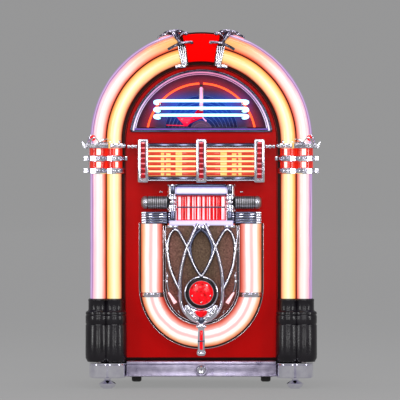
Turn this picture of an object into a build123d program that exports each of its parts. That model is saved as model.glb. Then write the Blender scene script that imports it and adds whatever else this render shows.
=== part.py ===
from build123d import *
from math import cos, radians, sin
import os

# Full-size floor-standing arched jukebox. Millimetres, +X right, +Y back, +Z up. The origin
# is on the floor in the middle of the footprint, and the front faces -Y. The whole front is
# a door hinged on the left, the rest is the cabinet, its base and what it holds inside.

# Overall body
ARCH_Z = 994.0  # height of the centre of every arch
CABINET_R = 425.0  # half width and arch radius of the cabinet
WALL = 18.0
CABINET_FRONT = -158.0
CABINET_BACK = 290.0
CABINET_FLOOR = 111.0
BACK_LIMIT = 320.0

# Front door, from front to back
DOOR_R = 440.0
PANEL_R = 307.0
PANEL_FRONT = -236.0
FRAME_FRONT = -222.0
FRAME_BACK = -160.0
DOOR_BOTTOM = 114.0
PANEL_BOTTOM = 124.0

# Light tubes: an outer and an inner one, straight up the sides and round the arch
COLUMN_Y = -255.0
OUTER_X = 415.0
OUTER_TUBE_R = 31.0
INNER_X = 350.0
INNER_TUBE_R = 29.5
TUBE_WALL = 3.0
TUBE_BOTTOM = 300.0
ARCH_END = 78.0  # degrees above the horizontal where the arch tubes stop
LAMP_R = 8.0
FIT = 0.3  # gap between curved faces that only sit together

# Dome window
DOME_R = 288.0
DOME_FLOOR = 1031.0
RECORD_Z = 1031.0
RECORD_R = 151.0
RECORD_FRONT = -142.0
TONEARM_Z = 1130.0
TRAY_Z = 852.0  # top of the tray that carries the changer

# Speaker grille and its U-shaped light tube
U_Z = 409.0  # height of the centre of the U's bend
U_R = 199.3
U_TUBE_R = 42.3
U_Y = -253.0
U_TOP = 662.0
GRILLE_R = 250.0
MEDALLION_Z = 386.0
WOOFER_Z = 480.0
POD_R = 147.0  # half width of the box that carries the cloth
POD_TOP = 655.0

# Selector
KEY_COUNT = 10
KEY_PITCH = 19.4
KEY_WIDTH = 15.6
KEY_Y = -262.0
KEY_PIVOT_Z = 768.0
POST_X = 116.0
POST_R = 20.0
RUNNING_FIT = 0.05

# Base, feet and rollers
RAIL_X = 300.0
RAIL_FRONT = -262.0
RAIL_BACK = -204.0
BASE_BOTTOM = 48.0
BASE_TOP = 111.0
LOCK_Z = 75.0
LOCK_R = 14.0
CAM_REACH = 48.0  # the lock's cam rises this far into the door's bottom edge
FOOT_X = 377.0
FOOT_STEM_R = 7.5
ROLLER_X = 268.0
ROLLER_Y = 180.0
ROLLER_R = 30.0

# Hinges
HINGE_X = -452.0
HINGE_Y = -159.0
HINGE_HEIGHTS = (130.0, 290.0, 895.0)
KNUCKLE = 20.0
KNUCKLE_R = 5.0
PIN_R = 2.5
REAR_HINGE_X = -322.0
REAR_HINGE_Y = 310.0


def block(x0, x1, y0, y1, z0, z1):
    """Box between two corners."""
    return Pos((x0 + x1) / 2, (y0 + y1) / 2, (z0 + z1) / 2) * Box(x1 - x0, y1 - y0, z1 - z0)


def post(x, y, z0, z1, radius):
    """Upright round bar."""
    return Pos(x, y, (z0 + z1) / 2) * Cylinder(radius, z1 - z0)


def along_x(x0, x1, y, z, radius):
    """Round bar that lies along X."""
    return Pos((x0 + x1) / 2, y, z) * Rot(0, 90, 0) * Cylinder(radius, x1 - x0)


def along_y(x, y0, y1, z, radius):
    """Round bar that lies along Y."""
    return Pos(x, (y0 + y1) / 2, z) * Rot(90, 0, 0) * Cylinder(radius, y1 - y0)


def slab(profile, front, back):
    """Upright plate whose front view is the profile, drawn as X and Z."""
    return extrude(Plane.XZ.offset(-back) * profile, back - front)


def rect(x0, x1, z0, z1):
    """Rectangle in the front view."""
    return Pos((x0 + x1) / 2, (z0 + z1) / 2) * Rectangle(x1 - x0, z1 - z0)


def disc(x, z, radius):
    """Disc in the front view."""
    return Pos(x, z) * Circle(radius)


def polar(radius, degrees, z=ARCH_Z):
    """Point at an angle above the horizontal, round a centre on the middle line."""
    return (radius * cos(radians(degrees)), z + radius * sin(radians(degrees)))


def arch(half_width, bottom):
    """Front view of a panel with straight sides and a half-round top."""
    return rect(-half_width, half_width, bottom, ARCH_Z) + disc(0, ARCH_Z, half_width)


def dome(radius, floor):
    """Front view of the window: a disc cut off flat below."""
    return disc(0, ARCH_Z, radius) & rect(-radius, radius, floor, ARCH_Z + radius)


def grille(radius, top):
    """Front view of the U-shaped grille field."""
    bend = disc(0, U_Z, radius) & rect(-radius, radius, U_Z - radius, U_Z)
    return rect(-radius, radius, U_Z, top) + bend


def wedge(z, start, end, reach=900.0):
    """Pie slice in the front view, to cut a curved board into segments."""
    return make_face(Polyline((0, z), polar(reach, start, z), polar(reach, end, z), close=True))


def segments(profile, z, start, end, count):
    """The profile cut by equal pie slices."""
    step = (end - start) / count
    return [profile & wedge(z, start + i * step, start + (i + 1) * step) for i in range(count)]


def mirrored(shape):
    """The same shape on the other side of the middle plane."""
    return mirror(shape, about=Plane.YZ)


def both(*shapes):
    """Shapes of the left side with their mirror images."""
    return [*shapes, *[mirrored(shape) for shape in shapes]]


def pipe(radius, height, bore):
    """Upright pipe standing on its origin."""
    return Pos(0, 0, height / 2) * (Cylinder(radius, height) - Cylinder(bore, height))


def turned_y(points, x, z):
    """Solid of revolution about a Y axis, from points given as radius and Y."""
    face = make_face(Polyline(*[(r, y) for r, y in points], close=True))
    return Pos(x, 0, z) * revolve(face, Axis.Y)


nodes = {}


def add(name, *shapes):
    """Keep the solids of one named node."""
    solids = [solid for shape in shapes for solid in shape.solids()]
    nodes[name] = solids[0] if len(solids) == 1 else Compound(children=solids)


# Front door: board frame, red panel and window


def build_door_boards():
    head = arch(DOOR_R, ARCH_Z) - dome(DOME_R + 4, DOME_FLOOR)
    head_boards = segments(head & rect(-DOOR_R, DOOR_R, ARCH_Z, 1500), ARCH_Z, 0, 180, 8)
    opening = grille(GRILLE_R + 6, U_TOP)
    stile_x = GRILLE_R + 6
    stile = rect(-DOOR_R, -stile_x, DOOR_BOTTOM, ARCH_Z)
    waist = rect(-stile_x, stile_x, U_TOP, ARCH_Z)
    foot = rect(-stile_x, stile_x, DOOR_BOTTOM, U_Z) - opening
    foot_boards = segments(foot, U_Z, 180, 360, 8)
    outlines = [stile, waist, *head_boards, *foot_boards]
    boards = [slab(outline, FRAME_FRONT, FRAME_BACK) for outline in outlines]
    boards.append(mirrored(boards[0]))
    pocket_top = LOCK_Z + CAM_REACH + 7
    cam_pocket = block(-14, 34, -218, -206, DOOR_BOTTOM - 1, pocket_top)
    add("door_frame", *[board - cam_pocket for board in boards])


def build_door_panel():
    field = arch(PANEL_R, PANEL_BOTTOM) - dome(DOME_R, DOME_FLOOR) - grille(GRILLE_R, U_TOP)
    add("door_panel", slab(field, PANEL_FRONT, FRAME_FRONT))


def build_window():
    glass = dome(DOME_R - 2, DOME_FLOOR + 2)
    add("dome_glass", slab(glass, PANEL_FRONT, PANEL_FRONT + 4))
    outline = dome(DOME_R + 4, DOME_FLOOR - 4) - dome(DOME_R - 11, DOME_FLOOR + 18)
    parts = segments(outline, ARCH_Z, 0, 180, 12)
    sill = outline & rect(-DOME_R, DOME_R, DOME_FLOOR - 4, DOME_FLOOR + 18)
    ring = [slab(part - sill, PANEL_FRONT - 12, PANEL_FRONT) for part in parts]
    add("dome_bezel", slab(sill, PANEL_FRONT - 12, PANEL_FRONT), *ring)


def build_keystone():
    corners = (polar(321, 99.1), polar(431, 99.9), polar(431, 80.1), polar(321, 80.9))
    wedge_block = slab(make_face(Polyline(*corners, close=True)), -290, FRAME_FRONT)
    add("keystone", fillet(wedge_block.edges().filter_by(Axis.Y), 5))


# Light tubes, their lamps, and the chrome that holds them


def column(x, radius, bore):
    return Pos(-x, COLUMN_Y, TUBE_BOTTOM) * pipe(radius, ARCH_Z - 0.2 - TUBE_BOTTOM, bore)


def arch_bar(x, radius, bore, start, end):
    """Left part of a ring round the arch's centre, with a round section."""
    section = Circle(radius) - Circle(bore) if bore else Circle(radius)
    placed = Plane.XY * Pos(-x, 0) * section
    swept = revolve(placed, Axis.Y, end - start)
    return Pos(0, COLUMN_Y, ARCH_Z) * Rot(0, start, 0) * swept


def build_light_tubes():
    for name, x, radius in (
        ("outer_tubes", OUTER_X, OUTER_TUBE_R),
        ("inner_tubes", INNER_X, INNER_TUBE_R),
    ):
        bore = radius - TUBE_WALL
        straight = column(x, radius, bore)
        add(name, *both(straight, arch_bar(x, radius, bore, 0, ARCH_END)))


def u_bend(radius, bore, start=0.0, end=180.0):
    """Part of the bend of the U tube, by angle down from its right end."""
    section = Circle(radius) - Circle(bore) if bore else Circle(radius)
    bend = revolve(Pos(-U_R, 0) * section, Axis.Y, end - start)
    return Pos(0, U_Y, U_Z - 0.2) * Rot(0, 180 + start, 0) * bend


def build_u_tube():
    bore = U_TUBE_R - TUBE_WALL
    leg = Pos(-U_R, U_Y, U_Z) * pipe(U_TUBE_R, U_TOP - U_Z, bore)
    add("u_tube", *both(leg), u_bend(U_TUBE_R, bore))


def build_lamps():
    lamps = []
    for x in (OUTER_X, INNER_X):
        lamps += both(post(-x, COLUMN_Y, TUBE_BOTTOM + 10, ARCH_Z - 10, LAMP_R))
        lamps += both(arch_bar(x, LAMP_R, 0, 2, ARCH_END - 3))
    lamps += both(post(-U_R, U_Y, U_Z + 8, U_TOP - 10, LAMP_R + 4))
    lamps.append(u_bend(LAMP_R + 4, 0, 2, 178))
    add("tube_lamps", *lamps)


def twin(x_shift, radius, spread):
    """Plan of two round lobes side by side, over the two tubes of one column."""
    middle = -(OUTER_X + INNER_X) / 2 + x_shift
    return Pos(middle - spread / 2, COLUMN_Y) * Circle(radius) + (
        Pos(middle + spread / 2, COLUMN_Y) * Circle(radius)
    )


def tube_holes():
    """Plan of the two holes that the light tubes pass through."""
    return Pos(-OUTER_X, COLUMN_Y) * Circle(OUTER_TUBE_R + FIT) + (
        Pos(-INNER_X, COLUMN_Y) * Circle(INNER_TUBE_R + FIT)
    )


def behind():
    """The door's boards and panel, to give a part a back that sits flat on them."""
    boards = block(-600, 600, FRAME_FRONT, 0, 0, 1500)
    return boards + block(-PANEL_R - FIT, 0, PANEL_FRONT, 0, 0, 1500)


def ring_band(radius, z0, z1, shift=0.0):
    spread = OUTER_X - INNER_X
    plan = twin(shift, radius, spread) - tube_holes()
    return Pos(0, 0, z0) * extrude(plan, z1 - z0) - behind()


def build_pedestals():
    spread = OUTER_X - INNER_X + 3
    foot_z, waist_z, flare_z, top_z = 108.0, 123.0, 312.0, 362.0
    foot_plan = Plane.XY.offset(foot_z) * twin(0, 46, spread)
    body_plan = Plane.XY.offset(waist_z) * twin(0, 50, spread)
    foot = loft([foot_plan.faces()[0], body_plan.faces()[0]])
    body = Pos(0, 0, waist_z) * extrude(twin(0, 50, spread), flare_z - waist_z)
    neck = Pos(0, 0, flare_z) * extrude(twin(0, 40, spread), top_z - flare_z)
    sockets = Pos(0, 0, TUBE_BOTTOM) * extrude(tube_holes(), 100)
    pedestal = foot + body + neck - sockets - behind()
    add("pedestals", *both(pedestal))


def build_collars():
    lower = ring_band(42, 863, 886)
    middle = ring_band(46, 913, 936)
    tray = ring_band(50, 964, 986)
    wing = block(-480, -458, COLUMN_Y - 14, COLUMN_Y + 14, 970, 992)
    crest = block(-447, -372, -302, -288, 986, 1016)
    rod = along_x(-311, -257, -262, 973, 9)
    ball = Pos(-330, -297, 995) * Sphere(9)
    nub = block(-308, -297, -266, -244, 916, 933)
    add("collars", *both(lower, middle + nub, tray + wing + rod, crest, ball))
    sleeves = [ring_band(35.5, z0, z1) for z0, z1 in ((886, 911), (938, 962))]
    add("collar_sleeves", *both(*sleeves))


def build_claws():
    strap = slab(
        (disc(0, ARCH_Z, 447) - disc(0, ARCH_Z, 316)) & wedge(ARCH_Z, 101.5, 108), -291, -287
    )
    cap = slab(
        (disc(0, ARCH_Z, 452) - disc(0, ARCH_Z, 446.3)) & wedge(ARCH_Z, 98.5, 112), -287, -225
    )
    horn_line = Pos(-84, -297, 1375) * Rot(0, 75, 0)
    horn = horn_line * Cylinder(6, 60)
    tip = horn_line * Pos(0, 0, -45) * Cone(1, 6, 30)
    ribs = []
    for i in range(4):
        x, z = polar(328 + i * 13, 102.4)
        ribs.append(Pos(x, -295, z) * Rot(0, -12, 0) * Box(26, 8, 8))
    foot = block(-98, -64, -299, -287, 1288, 1301)
    add("claws", *both(strap, cap, horn + tip, *ribs, foot))


# Title display, selector and the bars beside it


def build_title_display():
    pillars = []
    for x in (-233, 0, 233):
        pillar = block(x - 22, x + 22, -290, PANEL_FRONT, 827, 1002)
        front = pillar.edges().filter_by(Axis.X).group_by(Axis.Y)[0]
        pillars.append(fillet(front, 18))
    rails = []
    for x0, x1 in ((-211, -22), (22, 211)):
        rails.append(block(x0, x1, -278, PANEL_FRONT, 970, 986))
        rails.append(block(x0, x1, -278, PANEL_FRONT, 834, 854))
    add("title_frame", *pillars, *rails)
    cards = []
    for x0, x1 in ((-210, -23), (23, 210)):
        card = block(x0, x1, -262, PANEL_FRONT, 855, 969)
        for row in range(5):
            z = 872.6 + row * 20.3
            card += block(x0 + 4, x1 - 4, -266, -262, z - 7, z + 7)
        cards.append(card)
    add("title_cards", *cards)


def build_selector():
    uprights = []
    for x in (-POST_X, POST_X):
        upright = post(x, -264, 656, 802, POST_R) + Pos(x, -264, 802) * Sphere(POST_R)
        back = block(x - POST_R, x + POST_R, -264, PANEL_FRONT, 656, 806)
        uprights.append(upright + back)
    inner = POST_X - POST_R
    sill = block(-inner, inner, -296, PANEL_FRONT, 656, 675)
    back_plate = block(-inner, inner, -244, PANEL_FRONT, 675, 822)
    head = block(-inner, inner, -276, -244, 812, 822)
    lip = block(-inner, inner, -282, -244, 775.5, 782)
    axle = along_x(-inner, inner, KEY_Y, KEY_PIVOT_Z, 2)
    guard = along_x(-98, 98, -288, 729, 3)
    knobs = both(along_y(-POST_X, -292, -283.9, 729, 9))
    guard_arms = both(block(-POST_X + 4, -98, -291, -285, 726, 732))
    housing = [*uprights, sill, back_plate, head, lip, axle, guard]
    add("selector_housing", *housing, *[k + a for k, a in zip(knobs, guard_arms)])
    lamp_bar = along_x(-inner, inner, -275, 797, 15) & block(-inner, inner, -290, -244, 782, 812)
    add("selector_lamp_bar", lamp_bar)


def build_keys():
    for i in range(KEY_COUNT):
        x = (i - (KEY_COUNT - 1) / 2) * KEY_PITCH
        blade = block(x - KEY_WIDTH / 2, x + KEY_WIDTH / 2, KEY_Y - 6, KEY_Y + 5, 677, 774)
        blade = chamfer(blade.edges().group_by(Axis.Y)[0], 2)
        bore = along_x(x - KEY_WIDTH, x + KEY_WIDTH, KEY_Y, KEY_PIVOT_Z, 2 + RUNNING_FIT)
        add(f"key_{i + 1:02d}", blade - bore)


def build_side_bars():
    bar = along_x(-242, -136.5, -258, 748, 26)
    add("rib_bars", *both(bar - block(-300, 0, PANEL_FRONT, 0, 0, 1500)))


def build_u_trim():
    cap = block(-241, -136.5, -300, PANEL_FRONT, U_TOP, 711)
    cap = fillet(cap.edges().filter_by(Axis.Z).sort_by(Axis.Y)[:2], 22)
    ring = u_bend(U_TUBE_R + 4, U_TUBE_R + FIT, 6.6, 11.9) - block(0, 300, -210, 0, 0, 1500)
    add("u_tube_trim", *both(cap, ring))


# Speaker grille


def build_grille():
    """A shallow box that carries the cloth inside the U tube, on a flange behind the tube."""
    flange = grille(GRILLE_R + 5.7, U_TOP - FIT) - grille(POD_R, U_TOP - FIT)
    flange_bend = flange & rect(-GRILLE_R - 6, GRILLE_R + 6, 0, U_Z)
    flange_side = flange & rect(-GRILLE_R - 6, 0, U_Z, U_TOP)
    boards = [slab(part, -208, -190) for part in segments(flange_bend, U_Z, 180, 360, 8)]
    boards += both(slab(flange_side, -208, -190))
    wall = grille(POD_R, POD_TOP) - grille(POD_R - 14, POD_TOP - 14)
    wall_bend = wall & rect(-POD_R, POD_R, 0, U_Z)
    wall_side = wall & rect(-POD_R, -POD_R + 14, U_Z, POD_TOP)
    wall_top = wall & rect(-POD_R + 14, POD_R - 14, POD_TOP - 14, POD_TOP)
    boards += [slab(part, -263, -190) for part in segments(wall_bend, U_Z, 180, 360, 8)]
    boards += [*both(slab(wall_side, -263, -190)), slab(wall_top, -263, -190)]
    front = grille(POD_R, POD_TOP) - disc(0, WOOFER_Z, 28)
    for i in range(6):
        front -= disc(*polar(76, 60 * i, WOOFER_Z), 28)
    add("grille_baffle", slab(front, -281, -263), *boards)
    add("grille_cloth", slab(grille(POD_R - 0.5, POD_TOP - 0.5), -282.5, -281))
    cone = [(0, -258), (30, -225), (108, -257), (120, -263), (120, -255), (60, -205), (60, -172)]
    add("woofer", turned_y([*cone, (0, -172)], 0, WOOFER_Z))


def lattice_lines():
    """Centre lines of the right half of the lattice, drawn as X and Z."""
    return [
        ThreePointArc((0, 636), (46, 563), (0, 459)),
        ThreePointArc((104, 640), (136, 555), (94, 413)),
        Line((104, 640), (57, 566)),
        ThreePointArc((57, 566), (84, 470), (84, 370)),
        ThreePointArc((84, 370), (60, 296), (0, 266)),
        Line((0, 636), (57, 566)),
        Line((57, 566), (94, 413)),
        ThreePointArc((94, 413), (88, 350), (40, 282)),
        ThreePointArc((136, 418), (110, 350), (0, 262)),
    ]


def build_lattice():
    right = trace(lattice_lines(), 9)
    left = mirror(right, about=Plane.YZ)
    rim = grille(155, POD_TOP) - grille(POD_R, POD_TOP - 9)
    field = grille(155, POD_TOP)
    add("lattice_grille", slab((right + left + rim) & field, -293, -282.5))


def build_medallion():
    ring = [(50, -294), (69, -294), (69, -306), (62, -314), (50, -314)]
    add("medallion_ring", turned_y(ring, 0, MEDALLION_Z))
    lens = [(0, -294), (49.7, -294), (49.7, -312), (30, -320), (0, -320)]
    add("medallion_lens", turned_y(lens, 0, MEDALLION_Z))
    outline = Pos(0, 300) * Ellipse(68, 32) - disc(0, MEDALLION_Z, 69.3)
    add("shield", slab(outline, -312, -294))
    bar = block(-17, 17, -316, -296.5, 133, 260)
    add("drop_bar", fillet(bar.edges().filter_by(Axis.Y), 6))


# What shows in the window: glowing tubes


def build_neon():
    bars = []
    for z in (1158, 1128, 1100):
        bars.append(along_x(-184, 184, -192, z, 5.5))
    arcs = both(Pos(0, -178 - COLUMN_Y, 1008 - ARCH_Z) * arch_bar(220, 6, 0, 11, 88.5))
    stem = post(0, -177, 1142, 1221, 5.5)
    add("neon_tubes", *bars, *arcs, stem)


# Cabinet, base and feet


def build_cabinet():
    depth = (CABINET_FRONT, CABINET_BACK)
    side = slab(rect(-CABINET_R, -CABINET_R + WALL, CABINET_FLOOR, ARCH_Z), *depth)
    hood = (disc(0, ARCH_Z, CABINET_R) - disc(0, ARCH_Z, CABINET_R - WALL)) & rect(
        -CABINET_R, CABINET_R, ARCH_Z, 1500
    )
    staves = [slab(part, *depth) for part in segments(hood, ARCH_Z, 0, 180, 8)]
    inner = CABINET_R - WALL
    floor = slab(rect(-inner, inner, CABINET_FLOOR, CABINET_FLOOR + WALL), *depth)
    add("cabinet_shell", *both(side), *staves, floor)


def build_base():
    front, back, half = RAIL_BACK, CABINET_BACK, 405.0
    deck = block(-half, half, front, back, 93, BASE_TOP)
    fascia = block(-half, half, front, front + WALL, BASE_BOTTOM, 93)
    stern = block(-half, half, back - WALL, back, BASE_BOTTOM, 93)
    side = block(-half, -half + WALL, front + WALL, back - WALL, BASE_BOTTOM, 93)
    add("base_plinth", deck, fascia, stern, *both(side))
    web = block(-RAIL_X, RAIL_X, RAIL_FRONT, -224, BASE_BOTTOM, BASE_TOP)
    beside = both(Pos(0, 0, 40) * extrude(twin(9, 48, 56), 80))
    upper = block(-RAIL_X, RAIL_X, -224, RAIL_BACK, 107, BASE_TOP)
    lower = block(-RAIL_X, RAIL_X, -224, RAIL_BACK, BASE_BOTTOM, 52)
    bezel = along_y(0, RAIL_FRONT - 6, RAIL_FRONT, LOCK_Z, 25)
    bore = along_y(0, -300, -200, LOCK_Z, LOCK_R + RUNNING_FIT)
    slot = block(-13, CAM_REACH - 8, -224, RAIL_BACK, 100, 120)
    add("base_rail", web + bezel - bore - beside, upper - slot, lower)


def build_column_bases():
    plan = twin(9, 46, 56)
    body = Pos(0, 0, 43) * extrude(plan, 58)
    rim = Pos(0, 0, 99) * extrude(twin(9, 47.5, 56), 5)
    back = block(-RAIL_X - 100, -RAIL_X - 4, -235, RAIL_BACK, 48, 99)
    hole = post(-FOOT_X, COLUMN_Y, 30, 92, FOOT_STEM_R + RUNNING_FIT)
    keep_off = block(-600, 600, RAIL_BACK, 0, 0, 200)
    add("column_bases", *both(body + rim + back - hole - keep_off))


def build_feet():
    cup = [(0, 0), (20, 0), (27, 5), (34.5, 19), (30, 23), (12, 34)]
    stem = [(FOOT_STEM_R, 36), (FOOT_STEM_R, 84), (0, 84)]
    face = make_face(Polyline(*cup, *stem, close=True))
    foot = revolve(Plane.XZ * face, Axis.Z)
    add("foot_left", Pos(-FOOT_X, COLUMN_Y, 0) * foot)
    add("foot_right", Pos(FOOT_X, COLUMN_Y, 0) * foot)


def build_rollers():
    axle_r, bore_r = 5.0, 5.0 + RUNNING_FIT
    brackets = []
    for name, x in (("roller_left", -ROLLER_X), ("roller_right", ROLLER_X)):
        wheel = along_x(x - 20, x + 20, ROLLER_Y, ROLLER_R, ROLLER_R)
        wheel = chamfer(wheel.edges().filter_by(GeomType.CIRCLE), 4)
        add(name, wheel - along_x(x - 21, x + 21, ROLLER_Y, ROLLER_R, bore_r))
        cheeks = [
            block(x + s * 24 - 2, x + s * 24 + 2, ROLLER_Y - 14, ROLLER_Y + 14, 20, 89)
            for s in (-1, 1)
        ]
        plate = block(x - 40, x + 40, ROLLER_Y - 40, ROLLER_Y + 40, 89, 93)
        axle = along_x(x - 22, x + 22, ROLLER_Y, ROLLER_R, axle_r)
        brackets += [*cheeks, plate, axle]
    add("roller_brackets", *brackets)


def build_lock():
    barrel = along_y(0, RAIL_FRONT - 9, -214, LOCK_Z, LOCK_R)
    rim = along_y(0, RAIL_FRONT - 10, RAIL_FRONT - 6.5, LOCK_Z, 17)
    cam = block(-8, CAM_REACH, -214, -210, LOCK_Z - 7, LOCK_Z + 7)
    add("lock_cylinder", barrel + rim + cam)


# Hinges of the front door


def hinge_knuckle(z, bore):
    return Pos(HINGE_X, HINGE_Y, z) * pipe(KNUCKLE_R, KNUCKLE, bore)


def build_hinges():
    cabinet_leaves, door_leaves = [], []
    for z in HINGE_HEIGHTS:
        top = z + 3 * KNUCKLE
        pin = post(HINGE_X, HINGE_Y, z, top, PIN_R)
        leaf = block(-428, -CABINET_R, -157, -112, z, top)
        for k in (0, 2):
            low = z + k * KNUCKLE
            arm = block(HINGE_X, -426, -157.5, -154.5, low, low + KNUCKLE)
            leaf += post(HINGE_X, HINGE_Y, low, low + KNUCKLE, KNUCKLE_R) + arm
        cabinet_leaves.append(leaf + pin)
        low = z + KNUCKLE + 0.5
        height = KNUCKLE - 1
        middle = Pos(HINGE_X, HINGE_Y, low) * Pos(0, 0, height / 2) * Cylinder(KNUCKLE_R, height)
        door_arm = block(HINGE_X, -441, -163.5, -160.5, low, low + height)
        plate = block(-443, -DOOR_R, -206, -160.5, z, top)
        bore = post(HINGE_X, HINGE_Y, z - 5, top + 5, PIN_R + RUNNING_FIT)
        door_leaves.append(middle + door_arm + plate - bore)
    add("hinge_cabinet_leaves", *cabinet_leaves)
    add("hinge_door_leaves", *door_leaves)


# Back of the cabinet


def build_back():
    low, high, half = 200.0, 1010.0, 300.0
    back = (CABINET_BACK, CABINET_BACK + 12)
    sides = both(slab(rect(-CABINET_R, -half, CABINET_FLOOR, ARCH_Z), *back))
    bottom = rect(-half, half, CABINET_FLOOR, low) - rect(220, 280, 140, 180)
    foot = slab(bottom, *back)
    top_board = (arch(CABINET_R, ARCH_Z) & rect(-CABINET_R, CABINET_R, ARCH_Z, 1500)) - rect(
        -half, half, 900, high
    )
    pin_x, pin_y = REAR_HINGE_X, REAR_HINGE_Y
    pivots = []
    for z in (260.0, 900.0):
        for k in (0, 2):
            low_k = z + k * KNUCKLE
            foot_k = block(pin_x - 4, pin_x + 4, back[1], pin_y, low_k, low_k + KNUCKLE)
            pivots.append(foot_k + post(pin_x, pin_y, low_k, low_k + KNUCKLE, KNUCKLE_R))
        pivots.append(post(pin_x, pin_y, z + KNUCKLE, z + 2 * KNUCKLE, PIN_R))
    add("back_frame", *sides, foot, slab(top_board, *back), *pivots)

    leaf = slab(rect(-310, 310, 190, 1006), 303, 311)
    vents = []
    for i in range(6):
        vents.append(rect(-180, 180, 700 + i * 40, 712 + i * 40))
    for vent in vents:
        leaf -= slab(vent, 300, 315)
    leaf += along_y(285, 311, BACK_LIMIT, 600, 14)
    for z in (260.0, 900.0):
        low_k = z + KNUCKLE + 0.5
        height = KNUCKLE - 1
        leaf += block(pin_x, -305, pin_y - 2.5, pin_y + 1, low_k, low_k + height)
        leaf += post(pin_x, pin_y, low_k, low_k + height, KNUCKLE_R)
        leaf -= post(pin_x, pin_y, low_k - 5, low_k + height + 5, PIN_R + RUNNING_FIT)
    add("rear_door", leaf)


def build_inlet():
    x, z = 250.0, 160.0
    face_y, back_y = 302.0, 280.0
    frame = [
        block(x - 30, x - 14, back_y, face_y + 3, z - 20, z + 20),
        block(x + 14, x + 30, back_y, face_y + 3, z - 20, z + 20),
        block(x - 14, x + 14, back_y, face_y + 3, z + 10, z + 20),
        block(x - 14, x + 14, back_y, face_y + 3, z - 20, z - 10),
        block(x - 14, x + 14, back_y, back_y + 4, z - 10, z + 10),
    ]
    pins = [
        block(x + dx - 2, x + dx + 2, back_y + 4, face_y - 5, z + dz - 1, z + dz + 1)
        for dx, dz in ((-7, -3), (0, 4), (7, -3))
    ]
    add("inlet_panel", *frame, *pins)


# Works inside the cabinet


def build_mechanism():
    inner = CABINET_R - WALL
    tray = block(-inner, inner, -150, 270, TRAY_Z - 12, TRAY_Z)
    plate = block(-60, 60, -60, -50, TRAY_Z, 1200)
    motor = along_y(0, -128, -60, RECORD_Z, 40) - along_y(0, -130, -96, RECORD_Z, 4 + RUNNING_FIT)
    over = block(-8, 8, -170, -50, 1200, 1210)
    hanger = block(-8, 8, -170, -164, 1118, 1200)
    pin = along_y(0, -164, -148, TONEARM_Z, 3)
    add("mechanism_chassis", tray, plate, motor, over, hanger, pin)


def build_record():
    disc_plate = along_y(0, RECORD_FRONT, RECORD_FRONT + 2, RECORD_Z, RECORD_R)
    label = along_y(0, RECORD_FRONT - 0.6, RECORD_FRONT, RECORD_Z, 47)
    clamp = along_y(0, RECORD_FRONT - 5, RECORD_FRONT, RECORD_Z, 9)
    table = along_y(0, RECORD_FRONT + 2, RECORD_FRONT + 8, RECORD_Z, 60)
    spindle = along_y(0, RECORD_FRONT + 2, -100, RECORD_Z, 4)
    add("record", disc_plate + label + clamp + table + spindle)


def build_tonearm():
    hub = along_y(0, -162, -151, TONEARM_Z, 10)
    head = [(-50, 1056), (-64, 1056), (-99, 1091)]
    wand = make_face(Polyline((-8, TONEARM_Z), (8, TONEARM_Z - 6), *head, close=True))
    needle = make_face(Polyline((-58, 1056), (-140, 1058), (-140, 1062), (-62, 1061), close=True))
    arm = hub + slab(wand + needle, -158, -152)
    add("tonearm", arm - along_y(0, -170, -140, TONEARM_Z, 3 + RUNNING_FIT))


def build_magazine():
    pitch, count = 14.0, 20
    half = pitch * count / 2
    bed_top = TRAY_Z + 6
    bed = block(-half - 14, half + 14, -30, 250, TRAY_Z, bed_top)
    ends = both(block(-half - 14, -half - 8, -30, 250, bed_top, 1010))
    combs = [block(-half - 8, half + 8, y, y + 8, bed_top, 940) for y in (-24, 236)]
    add("record_magazine", bed, *ends, *combs)
    stack = []
    for i in range(count):
        x = -half + (i + 0.5) * pitch
        stack.append(along_x(x - 1, x + 1, 110, 1000, 120))
    add("stored_records", *stack)


def build_electronics():
    floor = CABINET_FLOOR + WALL
    chassis_top = floor + 90
    chassis = block(-210, 90, -60, 160, floor, chassis_top)
    starts = [-200 + 20 * i for i in range(15)]
    fins = [block(x, x + 6, -60, 160, chassis_top, chassis_top + 40) for x in starts]
    add("amplifier", chassis, *fins)
    core = block(150, 290, -40, 80, floor, floor + 110)
    front_winding = block(185, 255, -58, -40, floor + 20, floor + 90)
    back_winding = block(185, 255, 80, 98, floor + 20, floor + 90)
    add("power_transformer", core, front_winding, back_winding)


def main():
    build_door_boards()
    build_door_panel()
    build_window()
    build_keystone()
    build_light_tubes()
    build_u_tube()
    build_lamps()
    build_pedestals()
    build_collars()
    build_claws()
    build_title_display()
    build_selector()
    build_keys()
    build_side_bars()
    build_u_trim()
    build_grille()
    build_lattice()
    build_medallion()
    build_neon()
    build_cabinet()
    build_base()
    build_column_bases()
    build_feet()
    build_rollers()
    build_lock()
    build_hinges()
    build_back()
    build_inlet()
    build_mechanism()
    build_record()
    build_tonearm()
    build_magazine()
    build_electronics()
    os.makedirs("parts", exist_ok=True)
    for name, shape in nodes.items():
        export_step(shape, f"parts/{name}.step")


main()
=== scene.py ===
"""Looks of a full-size arched floor jukebox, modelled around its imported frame."""

import math

import bpy
from mathutils import Matrix, Vector


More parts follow.
